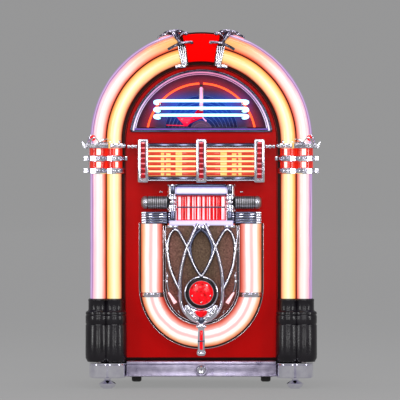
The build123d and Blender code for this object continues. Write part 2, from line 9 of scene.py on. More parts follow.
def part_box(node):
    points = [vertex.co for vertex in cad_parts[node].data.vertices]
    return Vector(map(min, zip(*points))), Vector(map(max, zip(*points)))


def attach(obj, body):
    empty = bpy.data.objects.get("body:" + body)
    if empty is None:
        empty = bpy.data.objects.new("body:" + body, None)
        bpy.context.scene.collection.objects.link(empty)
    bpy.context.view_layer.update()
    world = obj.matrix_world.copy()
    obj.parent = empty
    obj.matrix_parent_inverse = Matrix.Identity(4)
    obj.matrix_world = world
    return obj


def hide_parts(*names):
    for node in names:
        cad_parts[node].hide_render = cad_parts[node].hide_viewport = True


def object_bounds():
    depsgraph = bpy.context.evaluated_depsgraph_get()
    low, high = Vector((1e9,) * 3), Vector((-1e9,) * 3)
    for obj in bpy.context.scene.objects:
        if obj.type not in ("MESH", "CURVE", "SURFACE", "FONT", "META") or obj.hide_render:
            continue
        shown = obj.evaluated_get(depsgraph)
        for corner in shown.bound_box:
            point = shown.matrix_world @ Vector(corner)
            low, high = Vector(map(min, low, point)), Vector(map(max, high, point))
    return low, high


bl_info = {
    "name": "Arched Jukebox",
    "version": (1, 0, 0),
    "blender": (4, 5, 0),
    "location": "View3D > Sidebar > Jukebox",
    "description": "Models the lit tubes, chrome work, window and cabinet of a jukebox",
    "category": "Add Mesh",
}

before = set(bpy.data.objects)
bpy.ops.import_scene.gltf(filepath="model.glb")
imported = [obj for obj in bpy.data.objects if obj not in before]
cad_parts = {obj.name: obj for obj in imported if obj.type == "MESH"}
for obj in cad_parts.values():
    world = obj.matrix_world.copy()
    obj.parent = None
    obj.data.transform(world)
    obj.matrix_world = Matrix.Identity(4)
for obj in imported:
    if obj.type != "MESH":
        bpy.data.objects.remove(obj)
CAD_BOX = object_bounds()

# Places and sizes in metres: X is right, Y is back, Z is up. low and high give a node's box corners.


def low(node):
    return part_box(node)[0]


def high(node):
    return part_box(node)[1]


ARCH_Z = high("cabinet_shell")[2] - high("cabinet_shell")[0]
PANEL_FRONT = low("door_panel")[1]
PANEL_HALF = high("door_panel")[0]
OUTER_R = 0.031
INNER_R = 0.0295
OUTER_X = high("outer_tubes")[0] - OUTER_R
INNER_X = high("inner_tubes")[0] - INNER_R
TUBE_Y = low("outer_tubes")[1] + OUTER_R
TUBE_LOW = high("pedestals")[2]
U_R = 0.0423
U_X = high("u_tube")[0] - U_R
U_Y = low("u_tube")[1] + U_R
U_TOP = high("u_tube")[2]
U_Z = low("u_tube")[2] + U_X + U_R
MEDAL_Z = (low("medallion_lens")[2] + high("medallion_lens")[2]) / 2
DOME_R = high("dome_bezel")[0]
RECORD_Z = (low("record")[2] + high("record")[2]) / 2
# Measured on the photograph: the top title row, the step between rows, and the selector's lamp
TITLE_Z = 0.954
TITLE_PITCH = 0.0203
LAMP_Z = 0.7965

FRONT_DOOR = "front_door"
CABINET = "cabinet"


def in_mm(points):
    """Points in millimetres as points in metres."""
    return [tuple(value / 1000 for value in point) for point in points]


def srgb(red, green, blue):
    """A display colour as linear light."""
    return tuple((part / 255) ** 2.2 for part in (red, green, blue))


# Materials: a few classes that turn Python sums into shader nodes


class Number:
    """A number socket that takes part in sums."""

    def __init__(self, recipe, socket):
        self.recipe = recipe
        self.socket = socket

    def sum(self, operation, first, second=0.0):
        node = self.recipe.node("ShaderNodeMath", {"operation": operation}, {0: first, 1: second})
        return Number(self.recipe, node.outputs[0])

    def __add__(self, other):
        return self.sum("ADD", self, other)

    def __radd__(self, other):
        return self.sum("ADD", other, self)

    def __sub__(self, other):
        return self.sum("SUBTRACT", self, other)

    def __rsub__(self, other):
        return self.sum("SUBTRACT", other, self)

    def __mul__(self, other):
        return self.sum("MULTIPLY", self, other)

    def __rmul__(self, other):
        return self.sum("MULTIPLY", other, self)

    def __pow__(self, other):
        return self.sum("POWER", self, other)

    def __abs__(self):
        return self.sum("ABSOLUTE", self)

    def sine(self):
        return self.sum("SINE", self)

    def over(self, limit):
        return self.sum("MAXIMUM", self, limit)


class Recipe:
    """One material, from its node graph to its finish."""

    def __init__(self, name, **finish):
        self.material = bpy.data.materials.new(name)
        self.material.use_nodes = True
        self.nodes = self.material.node_tree.nodes
        self.links = self.material.node_tree.links
        self.nodes.clear()
        self.shader = self.node("ShaderNodeBsdfPrincipled")
        output = self.nodes.new("ShaderNodeOutputMaterial")
        self.links.new(self.shader.outputs[0], output.inputs[0])
        for socket, value in finish.items():
            self.set(socket.replace("_", " ").title().replace("Ior", "IOR"), value)

    def node(self, kind, settings=None, inputs=None):
        node = self.nodes.new(kind)
        for key, value in (settings or {}).items():
            if key == "stops":
                self.paint_ramp(node.color_ramp, value)
            else:
                setattr(node, key, value)
        for key, value in (inputs or {}).items():
            self.feed(node.inputs[key], value)
        return node

    def feed(self, socket, value):
        if isinstance(value, Number):
            value = value.socket
        if isinstance(value, bpy.types.NodeSocket):
            self.links.new(value, socket)
        elif isinstance(value, tuple) and socket.type == "RGBA":
            socket.default_value = (*value[:3], 1.0)
        else:
            socket.default_value = value

    def set(self, socket, value):
        self.feed(self.shader.inputs[socket], value)

    @staticmethod
    def paint_ramp(ramp, stops):
        while len(ramp.elements) < len(stops):
            ramp.elements.new(1.0)
        for element, (place, colour) in zip(ramp.elements, stops):
            element.position = place
            element.color = (*colour, 1.0)

    def place(self, scale=(1, 1, 1), turn=(0, 0, 0), centre=(0, 0, 0)):
        """Object coordinates, moved so that centre is the origin, turned and scaled."""
        coordinates = self.node("ShaderNodeTexCoord").outputs["Object"]
        moved = self.node(
            "ShaderNodeMapping",
            None,
            {"Vector": coordinates, "Location": tuple(-c for c in centre)},
        )
        inputs = {"Vector": moved.outputs[0], "Rotation": turn, "Scale": scale}
        return self.node("ShaderNodeMapping", None, inputs).outputs[0]

    def axes(self, vector):
        split = self.node("ShaderNodeSeparateXYZ", None, {0: vector})
        return [Number(self, output) for output in split.outputs]

    def noise(self, vector, scale, detail=3.0, roughness=0.55):
        inputs = {"Vector": vector, "Scale": scale, "Detail": detail, "Roughness": roughness}
        return Number(self, self.node("ShaderNodeTexNoise", None, inputs).outputs[0])

    def ramp(self, factor, *stops):
        node = self.node("ShaderNodeValToRGB", {"stops": stops}, {0: factor})
        return node.outputs[0]

    def mix(self, factor, first, second, blend="MIX"):
        settings = {"data_type": "RGBA", "blend_type": blend}
        node = self.node("ShaderNodeMix", settings, {0: factor, 6: first, 7: second})
        return node.outputs[2]

    def spread(self, number, low_in, high_in, low_out, high_out):
        """The number moved from one span to another, and kept inside it."""
        inputs = {0: number, 1: low_in, 2: high_in, 3: low_out, 4: high_out}
        return Number(self, self.node("ShaderNodeMapRange", None, inputs).outputs[0])

    def bump(self, height, distance, strength=1.0):
        inputs = {"Height": height, "Distance": distance, "Strength": strength}
        self.set("Normal", self.node("ShaderNodeBump", None, inputs).outputs[0])


FINISHES = {}


def finish(name):
    """The finish of that name, made the first time it is asked for."""
    if name in FINISHES:
        return FINISHES[name]
    if name in RECIPES:
        made = RECIPES[name](name)
    elif name in LAMPS:
        made = lamp(name, *LAMPS[name])
    elif name in BACKLIT:
        made = backlit(name, **BACKLIT[name])
    else:
        made = plating(name, **PLATINGS[name])
    FINISHES[name] = made.material
    return made.material


def lacquer(name, colour, roughness=0.09):
    """Sprayed gloss coat: faint orange peel, dust in the sheen, slight depth of colour."""
    made = Recipe(name, coat_weight=0.06, coat_roughness=0.05, specular_ior_level=0.12)
    place = made.place()
    cloud = made.noise(place, 5.0, 4.0)
    deep = tuple(part * 0.86 for part in colour)
    made.set("Base Color", made.mix(made.spread(cloud, 0.3, 0.7, 0.0, 1.0), deep, colour))
    dust = made.noise(place, 160.0, 5.0)
    made.set("Roughness", made.spread(dust, 0.35, 0.8, roughness, roughness + 0.1))
    made.bump(made.noise(place, 220.0, 2.0), 0.00012, 0.18)
    return made


def red_lacquer(name):
    """Red gloss of the front panel."""
    return lacquer(name, (0.56, 0.0, 0.0), 0.14)


def sleeve_red(name):
    """Red translucent sleeve with the tube's light behind it, streaked by its mouldings."""
    made = Recipe(name, emission_strength=0.55, coat_weight=0.5)
    streak = made.noise(made.place(scale=(60, 60, 4)), 1.0, 3.0)
    glow = made.ramp(streak, (0.25, (0.30, 0.0, 0.0)), (0.75, (1.0, 0.05, 0.02)))
    made.set("Base Color", made.mix(0.5, (0.6, 0.0, 0.0), glow))
    made.set("Emission Color", glow)
    made.set("Roughness", made.spread(streak, 0.2, 0.8, 0.12, 0.22))
    return made


def black_gloss(name):
    """Black moulding, polished, with the faint haze that handling leaves."""
    made = Recipe(name, coat_weight=0.1, coat_roughness=0.2, specular_ior_level=0.35)
    place = made.place()
    haze = made.noise(place, 18.0, 6.0)
    made.set("Base Color", made.ramp(haze, (0.2, (0.004, 0.003, 0.005)), (0.9, (0.016, 0.013, 0.018))))
    made.set("Roughness", made.spread(haze, 0.3, 0.8, 0.20, 0.32))
    made.bump(made.noise(place, 90.0, 2.0), 0.0002, 0.12)
    return made


def chrome(name):
    """Plated casting: cool mirror with polish marks and a little tarnish in the recesses."""
    made = Recipe(name, metallic=1.0)
    place = made.place()
    smear = made.noise(place, 26.0, 6.0)
    tint = made.ramp(smear, (0.25, (0.70, 0.68, 0.80)), (0.75, (0.95, 0.94, 1.0)))
    made.set("Base Color", tint)
    fine = made.noise(made.place(scale=(1, 1, 9)), 140.0, 3.0)
    made.set("Roughness", made.spread(smear * 0.6 + fine * 0.4, 0.3, 0.75, 0.04, 0.15))
    made.bump(made.noise(place, 70.0, 3.0), 0.0003, 0.10)
    return made


def from_line(made, centre_z, bends_up):
    """Distance from the middle line on the legs, and from the bend's centre past centre_z."""
    right, _, up = made.axes(made.place())
    past = (up - centre_z).over(0.0) if bends_up else (centre_z - up).over(0.0)
    return (right * right + past * past) ** 0.5


def glow_tube(name, middle, radius, bend, stops, warm=None):
    """Lit plastic tube: brightest in its middle, with drawn streaks and moulding clouds."""
    made = Recipe(name, coat_weight=0.5, coat_roughness=0.06, roughness=0.25)
    across = (from_line(made, *bend) - middle) * (0.5 / radius) + 0.5
    cloud = made.noise(made.place(scale=(1, 1, 0.3)), 14.0, 3.0)
    colour = made.ramp(across + (cloud - 0.5) * 0.16, *stops)
    if warm:
        _, _, up = made.axes(made.place())
        near_top = made.spread(up, ARCH_Z + middle * 0.66, ARCH_Z + middle * 0.94, 0.0, 1.0)
        near_top = near_top * made.spread(across, 0.74, 0.88, 1.0, 0.0)
        colour = made.mix(near_top, colour, made.mix(1.0, colour, warm, "MULTIPLY"))
    made.set("Base Color", made.mix(0.85, colour, (0.02, 0.01, 0.01)))
    made.set("Emission Color", colour)
    made.set("Emission Strength", 0.93)
    return made


def tube_pink(name):
    stops = (
        (0.0, srgb(210, 70, 60)), (0.10, srgb(250, 150, 140)), (0.26, srgb(255, 236, 226)),
        (0.52, srgb(255, 250, 248)), (0.70, srgb(255, 205, 212)), (0.80, srgb(236, 176, 214)),
        (0.85, srgb(150, 96, 160)), (0.90, srgb(216, 184, 230)), (1.0, srgb(150, 110, 180)),
    )
    return glow_tube(name, OUTER_X, OUTER_R, (ARCH_Z, True), stops, srgb(255, 200, 120))


def tube_cream(name):
    stops = (
        (0.0, srgb(214, 90, 60)), (0.12, srgb(255, 190, 140)), (0.28, srgb(255, 240, 170)),
        (0.5, srgb(255, 255, 224)), (0.72, srgb(255, 236, 160)), (0.88, srgb(255, 196, 100)),
        (1.0, srgb(226, 104, 70)),
    )
    return glow_tube(name, INNER_X, INNER_R, (ARCH_Z, True), stops, srgb(255, 238, 200))


def tube_peach(name):
    stops = (
        (0.0, srgb(200, 60, 50)), (0.12, srgb(250, 140, 124)), (0.22, srgb(255, 190, 184)),
        (0.28, srgb(255, 252, 250)), (0.42, srgb(255, 252, 250)), (0.50, srgb(255, 196, 196)),
        (0.58, srgb(255, 200, 198)), (0.64, srgb(255, 253, 250)), (0.78, srgb(255, 250, 244)),
        (0.86, srgb(255, 204, 160)), (1.0, srgb(226, 110, 70)),
    )
    return glow_tube(name, U_X, U_R, (U_Z, False), stops)


def lamp(name, colour, strength):
    """Lit core of a tube or a lamp, a little uneven along its length; also used for glowing painted
    highlights.
    """
    made = Recipe(name, roughness=0.6)
    cloud = made.noise(made.place(), 7.0, 2.0)
    dim = tuple(part * 0.86 for part in colour)
    shade = made.mix(made.spread(cloud, 0.35, 0.65, 0.0, 1.0), dim, colour)
    made.set("Base Color", shade)
    made.set("Emission Color", shade)
    made.set("Emission Strength", strength)
    return made


def red_wood(name):
    """Red stained veneer: long upright grain under a satin coat."""
    made = Recipe(name, coat_weight=0.35, coat_roughness=0.15)
    grain = made.noise(made.place(scale=(40, 40, 1.6)), 1.6, 6.0, 0.65)
    pores = made.noise(made.place(scale=(260, 260, 9)), 1.0, 3.0)
    colour = made.ramp(
        grain, (0.3, (0.10, 0.006, 0.004)), (0.55, (0.22, 0.012, 0.008)), (0.8, (0.33, 0.03, 0.016))
    )
    made.set("Base Color", made.mix(made.spread(pores, 0.55, 0.75, 0.0, 0.6), colour, (0.05, 0.004, 0.003)))
    made.set("Roughness", made.spread(grain, 0.2, 0.8, 0.22, 0.38))
    made.bump(pores, 0.0003, 0.25)
    return made


def raw_board(name):
    """Unpainted fibreboard, fine and fibrous."""
    made = Recipe(name)
    fibre = made.noise(made.place(), 420.0, 5.0, 0.7)
    cloud = made.noise(made.place(), 3.0, 4.0)
    colour = made.ramp(fibre * 0.6 + cloud * 0.4, (0.3, (0.20, 0.125, 0.07)), (0.7, (0.36, 0.25, 0.155)))
    made.set("Base Color", colour)
    made.set("Roughness", made.spread(fibre, 0.3, 0.7, 0.75, 0.92))
    made.bump(fibre, 0.0004, 0.35)
    return made


def black_metal(name):
    """Satin black paint on folded sheet, with its fine texture."""
    made = Recipe(name)
    grit = made.noise(made.place(), 500.0, 3.0)
    wear = made.noise(made.place(), 12.0, 5.0)
    made.set("Base Color", made.ramp(wear, (0.2, (0.010, 0.010, 0.011)), (0.8, (0.028, 0.027, 0.03))))
    made.set("Roughness", made.spread(wear, 0.3, 0.7, 0.38, 0.55))
    made.bump(grit, 0.0003, 0.3)
    return made


def rubber_black(name):
    """Matt black rubber with dust in it."""
    made = Recipe(name)
    dust = made.noise(made.place(), 40.0, 6.0)
    made.set("Base Color", made.ramp(dust, (0.35, (0.010, 0.010, 0.010)), (0.8, (0.045, 0.042, 0.04))))
    made.set("Roughness", made.spread(dust, 0.3, 0.8, 0.6, 0.85))
    made.bump(made.noise(made.place(), 300.0, 3.0), 0.0003, 0.3)
    return made


def speaker_cloth(name):
    """Twill speaker cloth: crossed diagonal threads, painted as faintly glowing, redder where the lit tubes
    shine on it (painted light), and with a painted reddish shade towards its bottom.
    """
    made = Recipe(name, sheen_weight=0.1, emission_strength=0.12)
    right, _, up = made.axes(made.place())
    pitch = 2 * math.pi / 0.0056
    warp = (right + up) * pitch
    weft = (right - up) * pitch
    weave = warp.sine() * 0.65 + weft.sine() * 0.35
    fleck = made.noise(made.place(), 160.0, 3.0)
    thread = made.spread(weave * 0.42 + fleck, 0.1, 1.0, 0.0, 1.0)
    middle = made.ramp(
        thread, (0.1, (0.030, 0.014, 0.010)), (0.5, (0.14, 0.075, 0.045)), (0.9, (0.36, 0.24, 0.15))
    )
    rosy = made.ramp(
        thread, (0.1, (0.055, 0.012, 0.010)), (0.5, (0.26, 0.10, 0.075)), (0.9, (0.55, 0.28, 0.22))
    )
    side = made.spread(abs(right) + (fleck - 0.5) * 0.03, 0.040, 0.120, 0.0, 0.9)
    colour = made.mix(side, middle, rosy)
    # Painted reddish shade on the cloth towards its bottom, around the U tube's bend.
    low_red_shade = made.spread(up, U_Z - 0.09, U_Z + 0.06, 0.8, 0.0)
    colour = made.mix(low_red_shade, colour, made.mix(1.0, colour, (0.75, 0.22, 0.22), "MULTIPLY"))
    made.set("Base Color", colour)
    # The cloth's colour is also emitted: a painted glow, as the cloth is no lamp.
    made.set("Emission Color", colour)
    made.set("Roughness", made.spread(thread, 0.0, 1.0, 0.95, 0.7))
    made.bump(weave, 0.0006, 0.6)
    return made


def window_glass(name):
    """Thin clear glass: almost nothing but its reflections and a trace of dust."""
    made = Recipe(name, roughness=0.02, specular_ior_level=0.2)
    dust = made.noise(made.place(), 30.0, 6.0)
    made.set("Base Color", made.mix(dust, (0.02, 0.02, 0.05), (0.05, 0.05, 0.08)))
    made.set("Alpha", made.spread(dust, 0.4, 0.8, 0.015, 0.04))
    return made


def window_glow(made):
    """Blue light that the three bars throw behind them, strongest level with them."""
    right, _, up = made.axes(made.place(centre=(0, 0, RECORD_Z + 0.095)))
    rise = made.spread(abs(up), 0.020, 0.080, 1.0, 0.0)
    reach = made.spread(abs(right), 0.10, 0.215, 1.0, 0.0)
    return rise ** 1.5 * reach


def arc_glow(made):
    """Red light that the neon arc throws on what is beside it."""
    right, _, up = made.axes(made.place(centre=(0, 0, 1.008)))
    off = abs((right * right + up * up) ** 0.5 - 0.222)
    return made.spread(off, 0.004, 0.050, 1.0, 0.0) ** 2.0


def vinyl(name):
    """Pressed record: fine grooves in bands, with a wider gap between tracks. The neon bars' blue light is
    painted on it as glow, and the gaps carry a painted blue reflection and are painted lighter.
    """
    made = Recipe(name, specular_ior_level=0.2)
    right, _, up = made.axes(made.place(centre=(0, 0, RECORD_Z)))
    radius = (right * right + up * up) ** 0.5
    groove = (radius * (2 * math.pi / 0.0022)).sine()
    band = (radius * (2 * math.pi / 0.0145)).sine()
    gap = made.spread(band, 0.90, 1.0, 0.0, 1.0)
    # Painted blue light of the neon bars on the record, and a painted blue reflection in the gaps between
    # tracks.
    glow = window_glow(made)
    lit = made.mix(glow, (0.010, 0.003, 0.022), (0.0, 0.06, 0.50))
    edge = made.mix(glow, (0.10, 0.10, 0.26), (0.03, 0.20, 0.80))
    colour = made.mix(gap, lit, edge)
    # The gaps are painted lighter and bluer: a painted sheen.
    made.set("Base Color", made.mix(gap, (0.003, 0.002, 0.007), (0.05, 0.05, 0.14)))
    made.set("Emission Color", colour)
    made.set("Emission Strength", 0.9)
    made.set("Roughness", made.spread(gap, 0.0, 1.0, 0.26, 0.10))
    made.bump(groove * (1.0 - gap), 0.0006, 0.55)
    return made


def record_label(name):
    """Plum paper label with one pale ring."""
    made = Recipe(name, roughness=0.5)
    right, _, up = made.axes(made.place(centre=(0, 0, RECORD_Z)))
    radius = (right * right + up * up) ** 0.5
    ring = made.spread(abs(radius - 0.036), 0.0006, 0.0012, 1.0, 0.0)
    paper = made.noise(made.place(), 120.0, 3.0)
    base = made.ramp(paper, (0.3, (0.12, 0.035, 0.11)), (0.7, (0.17, 0.055, 0.15)))
    made.set("Base Color", made.mix(ring, base, (0.30, 0.12, 0.26)))
    return made


def recess_dark(name):
    """Inside of the window: dark violet paint, painted as glowing faintly, with the painted blue light of the
    neon bars and the painted red light of the neon arc.
    """
    made = Recipe(name, roughness=0.6)
    cloud = made.noise(made.place(), 9.0, 3.0)
    plain = made.ramp(cloud, (0.3, (0.010, 0.003, 0.014)), (0.7, (0.040, 0.008, 0.036)))
    # Painted red light of the neon arc, then painted blue light of the neon bars, emitted as glow.
    warm = made.mix(arc_glow(made), plain, (0.34, 0.004, 0.02))
    colour = made.mix(window_glow(made), warm, (0.0, 0.065, 0.62))
    made.set("Base Color", made.mix(0.5, plain, (0.01, 0.008, 0.02)))
    made.set("Emission Color", colour)
    made.set("Emission Strength", 1.0)
    return made


def maroon_edge(name):
    """Dark maroon gloss on the edge of the door, smudged by hands."""
    return lacquer(name, (0.030, 0.004, 0.003), 0.16)


def title_card(name):
    """Backlit cream rows: palest along each row's middle, orange at its edges."""
    made = Recipe(name, roughness=0.6, specular_ior_level=0.1, emission_strength=0.85)
    _, _, up = made.axes(made.place(centre=(0, 0, TITLE_Z)))
    cloud = made.noise(made.place(scale=(6, 1, 40)), 3.0, 3.0)
    row = (up * (2 * math.pi / TITLE_PITCH) + math.pi / 2).sine() + (cloud - 0.5) * 0.5
    colour = made.ramp(
        row * 0.5 + 0.5,
        (0.2, srgb(236, 60, 10)), (0.55, srgb(255, 150, 60)), (0.78, srgb(255, 226, 130)),
        (0.95, srgb(255, 250, 200)),
    )
    made.set("Base Color", made.mix(0.7, colour, (0.02, 0.01, 0.0)))
    made.set("Emission Color", colour)
    return made


def lamp_lilac(name):
    """Milky lilac lamp, shaded along its upper and lower edges."""
    made = Recipe(name, roughness=0.3, coat_weight=0.2, emission_strength=0.9)
    _, _, up = made.axes(made.place(centre=(0, 0, LAMP_Z)))
    cloud = made.noise(made.place(scale=(3, 1, 1)), 20.0, 3.0)
    colour = made.ramp(
        (up + 0.0145) * (1 / 0.029) + (cloud - 0.5) * 0.12,
        (0.0, srgb(180, 174, 226)), (0.25, srgb(244, 240, 255)), (0.65, srgb(232, 228, 252)),
        (0.8, srgb(196, 190, 232)),
        (1.0, srgb(120, 116, 180)),
    )
    made.set("Base Color", made.mix(0.6, colour, (0.05, 0.05, 0.08)))
    made.set("Emission Color", colour)
    return made


def frame_lilac(name):
    """Lilac frame of the window, painted as glowing: a painted highlight on chrome, pinker at its top with
    painted pink light.
    """
    made = Recipe(name, roughness=0.3, coat_weight=0.4, emission_strength=0.62)
    _, _, up = made.axes(made.place())
    haze = made.noise(made.place(), 16.0, 3.0)
    # Painted pink light towards the top of the frame.
    rise = made.spread(up + (haze - 0.5) * 0.06, ARCH_Z + 0.06, ARCH_Z + 0.27, 0.0, 1.0)
    colour = made.ramp(
        rise, (0.0, srgb(232, 216, 244)), (0.6, srgb(190, 150, 200)), (1.0, srgb(206, 120, 160))
    )
    made.set("Base Color", colour)
    made.set("Emission Color", colour)
    return made


def backlit(name, stops, scale, stretch=(1, 1, 1), dim=None, detail=3.0, **finish):
    """Plastic, paper or glass lit from behind, cloudy between the colours of its stops."""
    made = Recipe(name, **finish)
    colour = made.ramp(made.noise(made.place(scale=stretch), scale, detail), *stops)
    made.set("Base Color", made.mix(dim[0], colour, dim[1]) if dim else colour)
    made.set("Emission Color", colour)
    return made


def plating(name, stops, scale, rough, bump, stretch=(1, 1, 1), detail=4.0, metallic=1.0):
    """Plated or brushed metal, smeared between the colours of its stops."""
    made = Recipe(name, metallic=metallic)
    smear = made.noise(made.place(scale=stretch), scale, detail)
    made.set("Base Color", made.ramp(smear, *stops))
    made.set("Roughness", made.spread(smear, *rough))
    made.bump(smear, *bump)
    return made


# Lit cores and lamps, and glowing painted highlights: colour and strength
LAMPS = {
    "core_white": ((1.0, 0.86, 0.84), 1.25),
    "core_cream": ((1.0, 0.93, 0.52), 1.25),
    "core_peach": ((1.0, 0.74, 0.60), 1.1),
    "neon_blue": ((0.42, 0.80, 1.0), 2.4),
    "neon_orange": ((1.0, 0.10, 0.02), 1.5),
    "neon_pink": ((1.0, 0.34, 0.60), 1.0),
    "lamp_white": ((0.93, 0.91, 1.0), 1.0),
    # Painted violet highlight on the chrome lip of the window's sill.
    "neon_violet": (srgb(120, 84, 190), 0.8),
    # Painted lilac-white highlight on the chrome sill of the selector.
    "lilac_white": (srgb(205, 196, 236), 0.8),
}

BACKLIT = {
    # Red translucent plastic, lit from inside.
    "keystone_red": dict(
        stops=((0.3, (0.80, 0.0, 0.0)), (0.7, (1.0, 0.0, 0.0))),
        scale=14.0, dim=(0.35, (0.3, 0.0, 0.0)), roughness=0.5, specular_ior_level=0.02,
        emission_strength=0.6,
    ),
    # Cut red plastic, lit from behind.
    "gem_red": dict(
        stops=((0.3, (0.42, 0.0, 0.0)), (0.62, (1.0, 0.0, 0.01)), (0.8, (1.0, 0.10, 0.10))),
        scale=60.0, detail=2.0, roughness=0.16, coat_weight=0.15, specular_ior_level=0.3,
        emission_strength=0.5,
    ),
    "tonearm_red": dict(
        stops=((0.3, (0.70, 0.0, 0.03)), (0.7, (1.0, 0.0, 0.06))),
        scale=30.0, roughness=0.4, coat_weight=0.2, emission_strength=0.75,
    ),
    # Blank paper label, lit through, warmer and dimmer towards one end.
    "card_cream": dict(
        stops=((0.3, srgb(255, 190, 110)), (0.55, srgb(255, 226, 130)), (0.75, srgb(255, 245, 175))),
        scale=2.0, stretch=(20, 1, 60), dim=(0.7, (0.02, 0.01, 0.0)), roughness=0.7, specular_ior_level=0.1,
        emission_strength=0.75,
    ),
    # Deep red square gem with a brighter cloud in it.
    "gem_dark": dict(
        stops=((0.3, (0.16, 0.0, 0.006)), (0.55, (0.36, 0.0, 0.008)), (0.75, (0.62, 0.004, 0.02))),
        scale=70.0, dim=(0.5, (0.05, 0.0, 0.0)), roughness=0.3, specular_ior_level=0.2,
        emission_strength=0.55,
    ),
    "strip_red": dict(
        stops=((0.3, (0.45, 0.01, 0.0)), (0.7, (0.95, 0.05, 0.01))),
        scale=4.0, stretch=(4, 1, 60), roughness=0.35, emission_strength=0.3, coat_weight=0.3,
    ),
    # Backlit key: white and pink, with a soft red bleed.
    "key_white": dict(
        stops=((0.3, (1.0, 0.42, 0.46)), (0.55, (1.0, 0.66, 0.70)), (0.8, (0.96, 0.88, 0.94))),
        scale=1.0, stretch=(30, 30, 8), roughness=0.25, coat_weight=0.5, emission_strength=0.62,
    ),
    "key_red": dict(
        stops=((0.3, (0.45, 0.0, 0.0)), (0.7, (0.85, 0.0, 0.01))),
        scale=40.0, roughness=0.3, emission_strength=0.5, coat_weight=0.3,
    ),
    # Rose glow, pinker in its middle: the painted red glow of the tube's light on a band under the claws, and
    # also the links between the title posts' gems.
    "glow_rose": dict(
        stops=((0.3, srgb(226, 40, 50)), (0.55, srgb(250, 120, 130)), (0.75, srgb(255, 190, 190))),
        scale=40.0, roughness=0.3, coat_weight=0.3, emission_strength=0.8,
    ),
    # Amplifier valve: smoky glass with an amber heater glow low down.
    "valve_glass": dict(
        stops=((0.35, (0.10, 0.03, 0.01)), (0.7, (1.0, 0.42, 0.10))),
        scale=60.0, dim=(0.7, (0.02, 0.02, 0.025)), roughness=0.08, coat_weight=0.6, emission_strength=0.35,
    ),
}

PLATINGS = {
    # Zinc-plated sheet, brushed along its length.
    "steel": dict(
        stops=((0.3, (0.34, 0.34, 0.36)), (0.7, (0.56, 0.56, 0.58))),
        scale=20.0, rough=(0.2, 0.8, 0.28, 0.45), bump=(0.0002, 0.2), stretch=(1, 40, 40),
    ),
    # Smoked plating that reads nearly black, with bluish bands.
    "dark_chrome": dict(
        stops=((0.25, (0.05, 0.055, 0.10)), (0.75, (0.19, 0.20, 0.30))),
        scale=12.0, rough=(0.3, 0.75, 0.10, 0.22), bump=(0.0003, 0.10), stretch=(2, 1, 30), detail=5.0,
    ),
    # Brushed grey plating, brighter where hands have rubbed it.
    "rib_grey": dict(
        stops=((0.3, (0.26, 0.25, 0.28)), (0.7, (0.48, 0.47, 0.50))),
        scale=26.0, rough=(0.3, 0.75, 0.32, 0.48), bump=(0.0003, 0.2), stretch=(6, 1, 1), metallic=0.85,
    ),
    # Satin lilac plating on the broad faces of the castings.
    "soft_chrome": dict(
        stops=((0.3, (0.34, 0.30, 0.44)), (0.7, (0.58, 0.53, 0.68))),
        scale=34.0, rough=(0.3, 0.75, 0.26, 0.38), bump=(0.0003, 0.15),
    ),
    # Dark plating of the claws, with bright high spots rubbed through.
    "smoked_chrome": dict(
        stops=((0.40, (0.10, 0.085, 0.13)), (0.62, (0.50, 0.46, 0.58)), (0.74, (0.95, 0.9, 1.0))),
        scale=95.0, rough=(0.3, 0.75, 0.07, 0.16), bump=(0.0006, 0.25), detail=3.0,
    ),
}

RECIPES = {
    recipe.__name__: recipe
    for recipe in (
        red_lacquer, sleeve_red, black_gloss, chrome, tube_pink, tube_cream, tube_peach, red_wood,
        raw_board, black_metal, rubber_black, speaker_cloth, window_glass, vinyl, record_label,
        recess_dark, title_card, maroon_edge, frame_lilac, lamp_lilac,
    )
}


# Modelling helpers


def pick(*objects):
    """Select these objects alone, with the first one active."""
    bpy.ops.object.select_all(action="DESELECT")
    for obj in objects:
        obj.select_set(True)
    bpy.context.view_layer.objects.active = objects[0]


def settle():
    """Put the active object's place, turn and scale in its mesh."""
    obj = bpy.context.object
    pick(obj)
    bpy.ops.object.transform_apply(location=True, rotation=True, scale=True)
    return obj


def edit(obj, mode="VERT"):
    pick(obj)
    bpy.ops.object.mode_set(mode="EDIT")
    bpy.ops.mesh.select_mode(type=mode)
    bpy.ops.mesh.select_all(action="SELECT")


def done():
    bpy.ops.object.mode_set(mode="OBJECT")
    return bpy.context.object


def modify(obj, kind, **settings):
    """Add a modifier and apply it."""
    pick(obj)
    modifier = obj.modifiers.new(kind.lower(), kind)
    for key, value in settings.items():
        setattr(modifier, key, value)
    bpy.ops.object.modifier_apply(modifier=modifier.name)
    return obj


def soften(obj, width, segments=2, angle=30):
    """Round every edge sharper than the angle."""
    return modify(
        obj, "BEVEL", width=width, segments=segments, limit_method="ANGLE",
        angle_limit=math.radians(angle), harden_normals=False,
    )


def close_up(obj):
    """Merge doubles and point every face outwards."""
    edit(obj)
    bpy.ops.mesh.remove_doubles(threshold=0.00001)
    bpy.ops.mesh.normals_make_consistent(inside=False)
    return done()


def drawn(points):
    """A line through the points, extruded from one vertex to the next. Stays in edit mode."""
    bpy.ops.object.select_all(action="DESELECT")
    bpy.ops.mesh.primitive_plane_add(size=0.001, location=points[0])
    settle()
    edit(bpy.context.object)
    bpy.ops.mesh.merge(type="CENTER")
    for start, end in zip(points, points[1:]):
        step = tuple(Vector(end) - Vector(start))
        bpy.ops.mesh.extrude_region_move(TRANSFORM_OT_translate={"value": step})
    bpy.ops.mesh.select_all(action="SELECT")


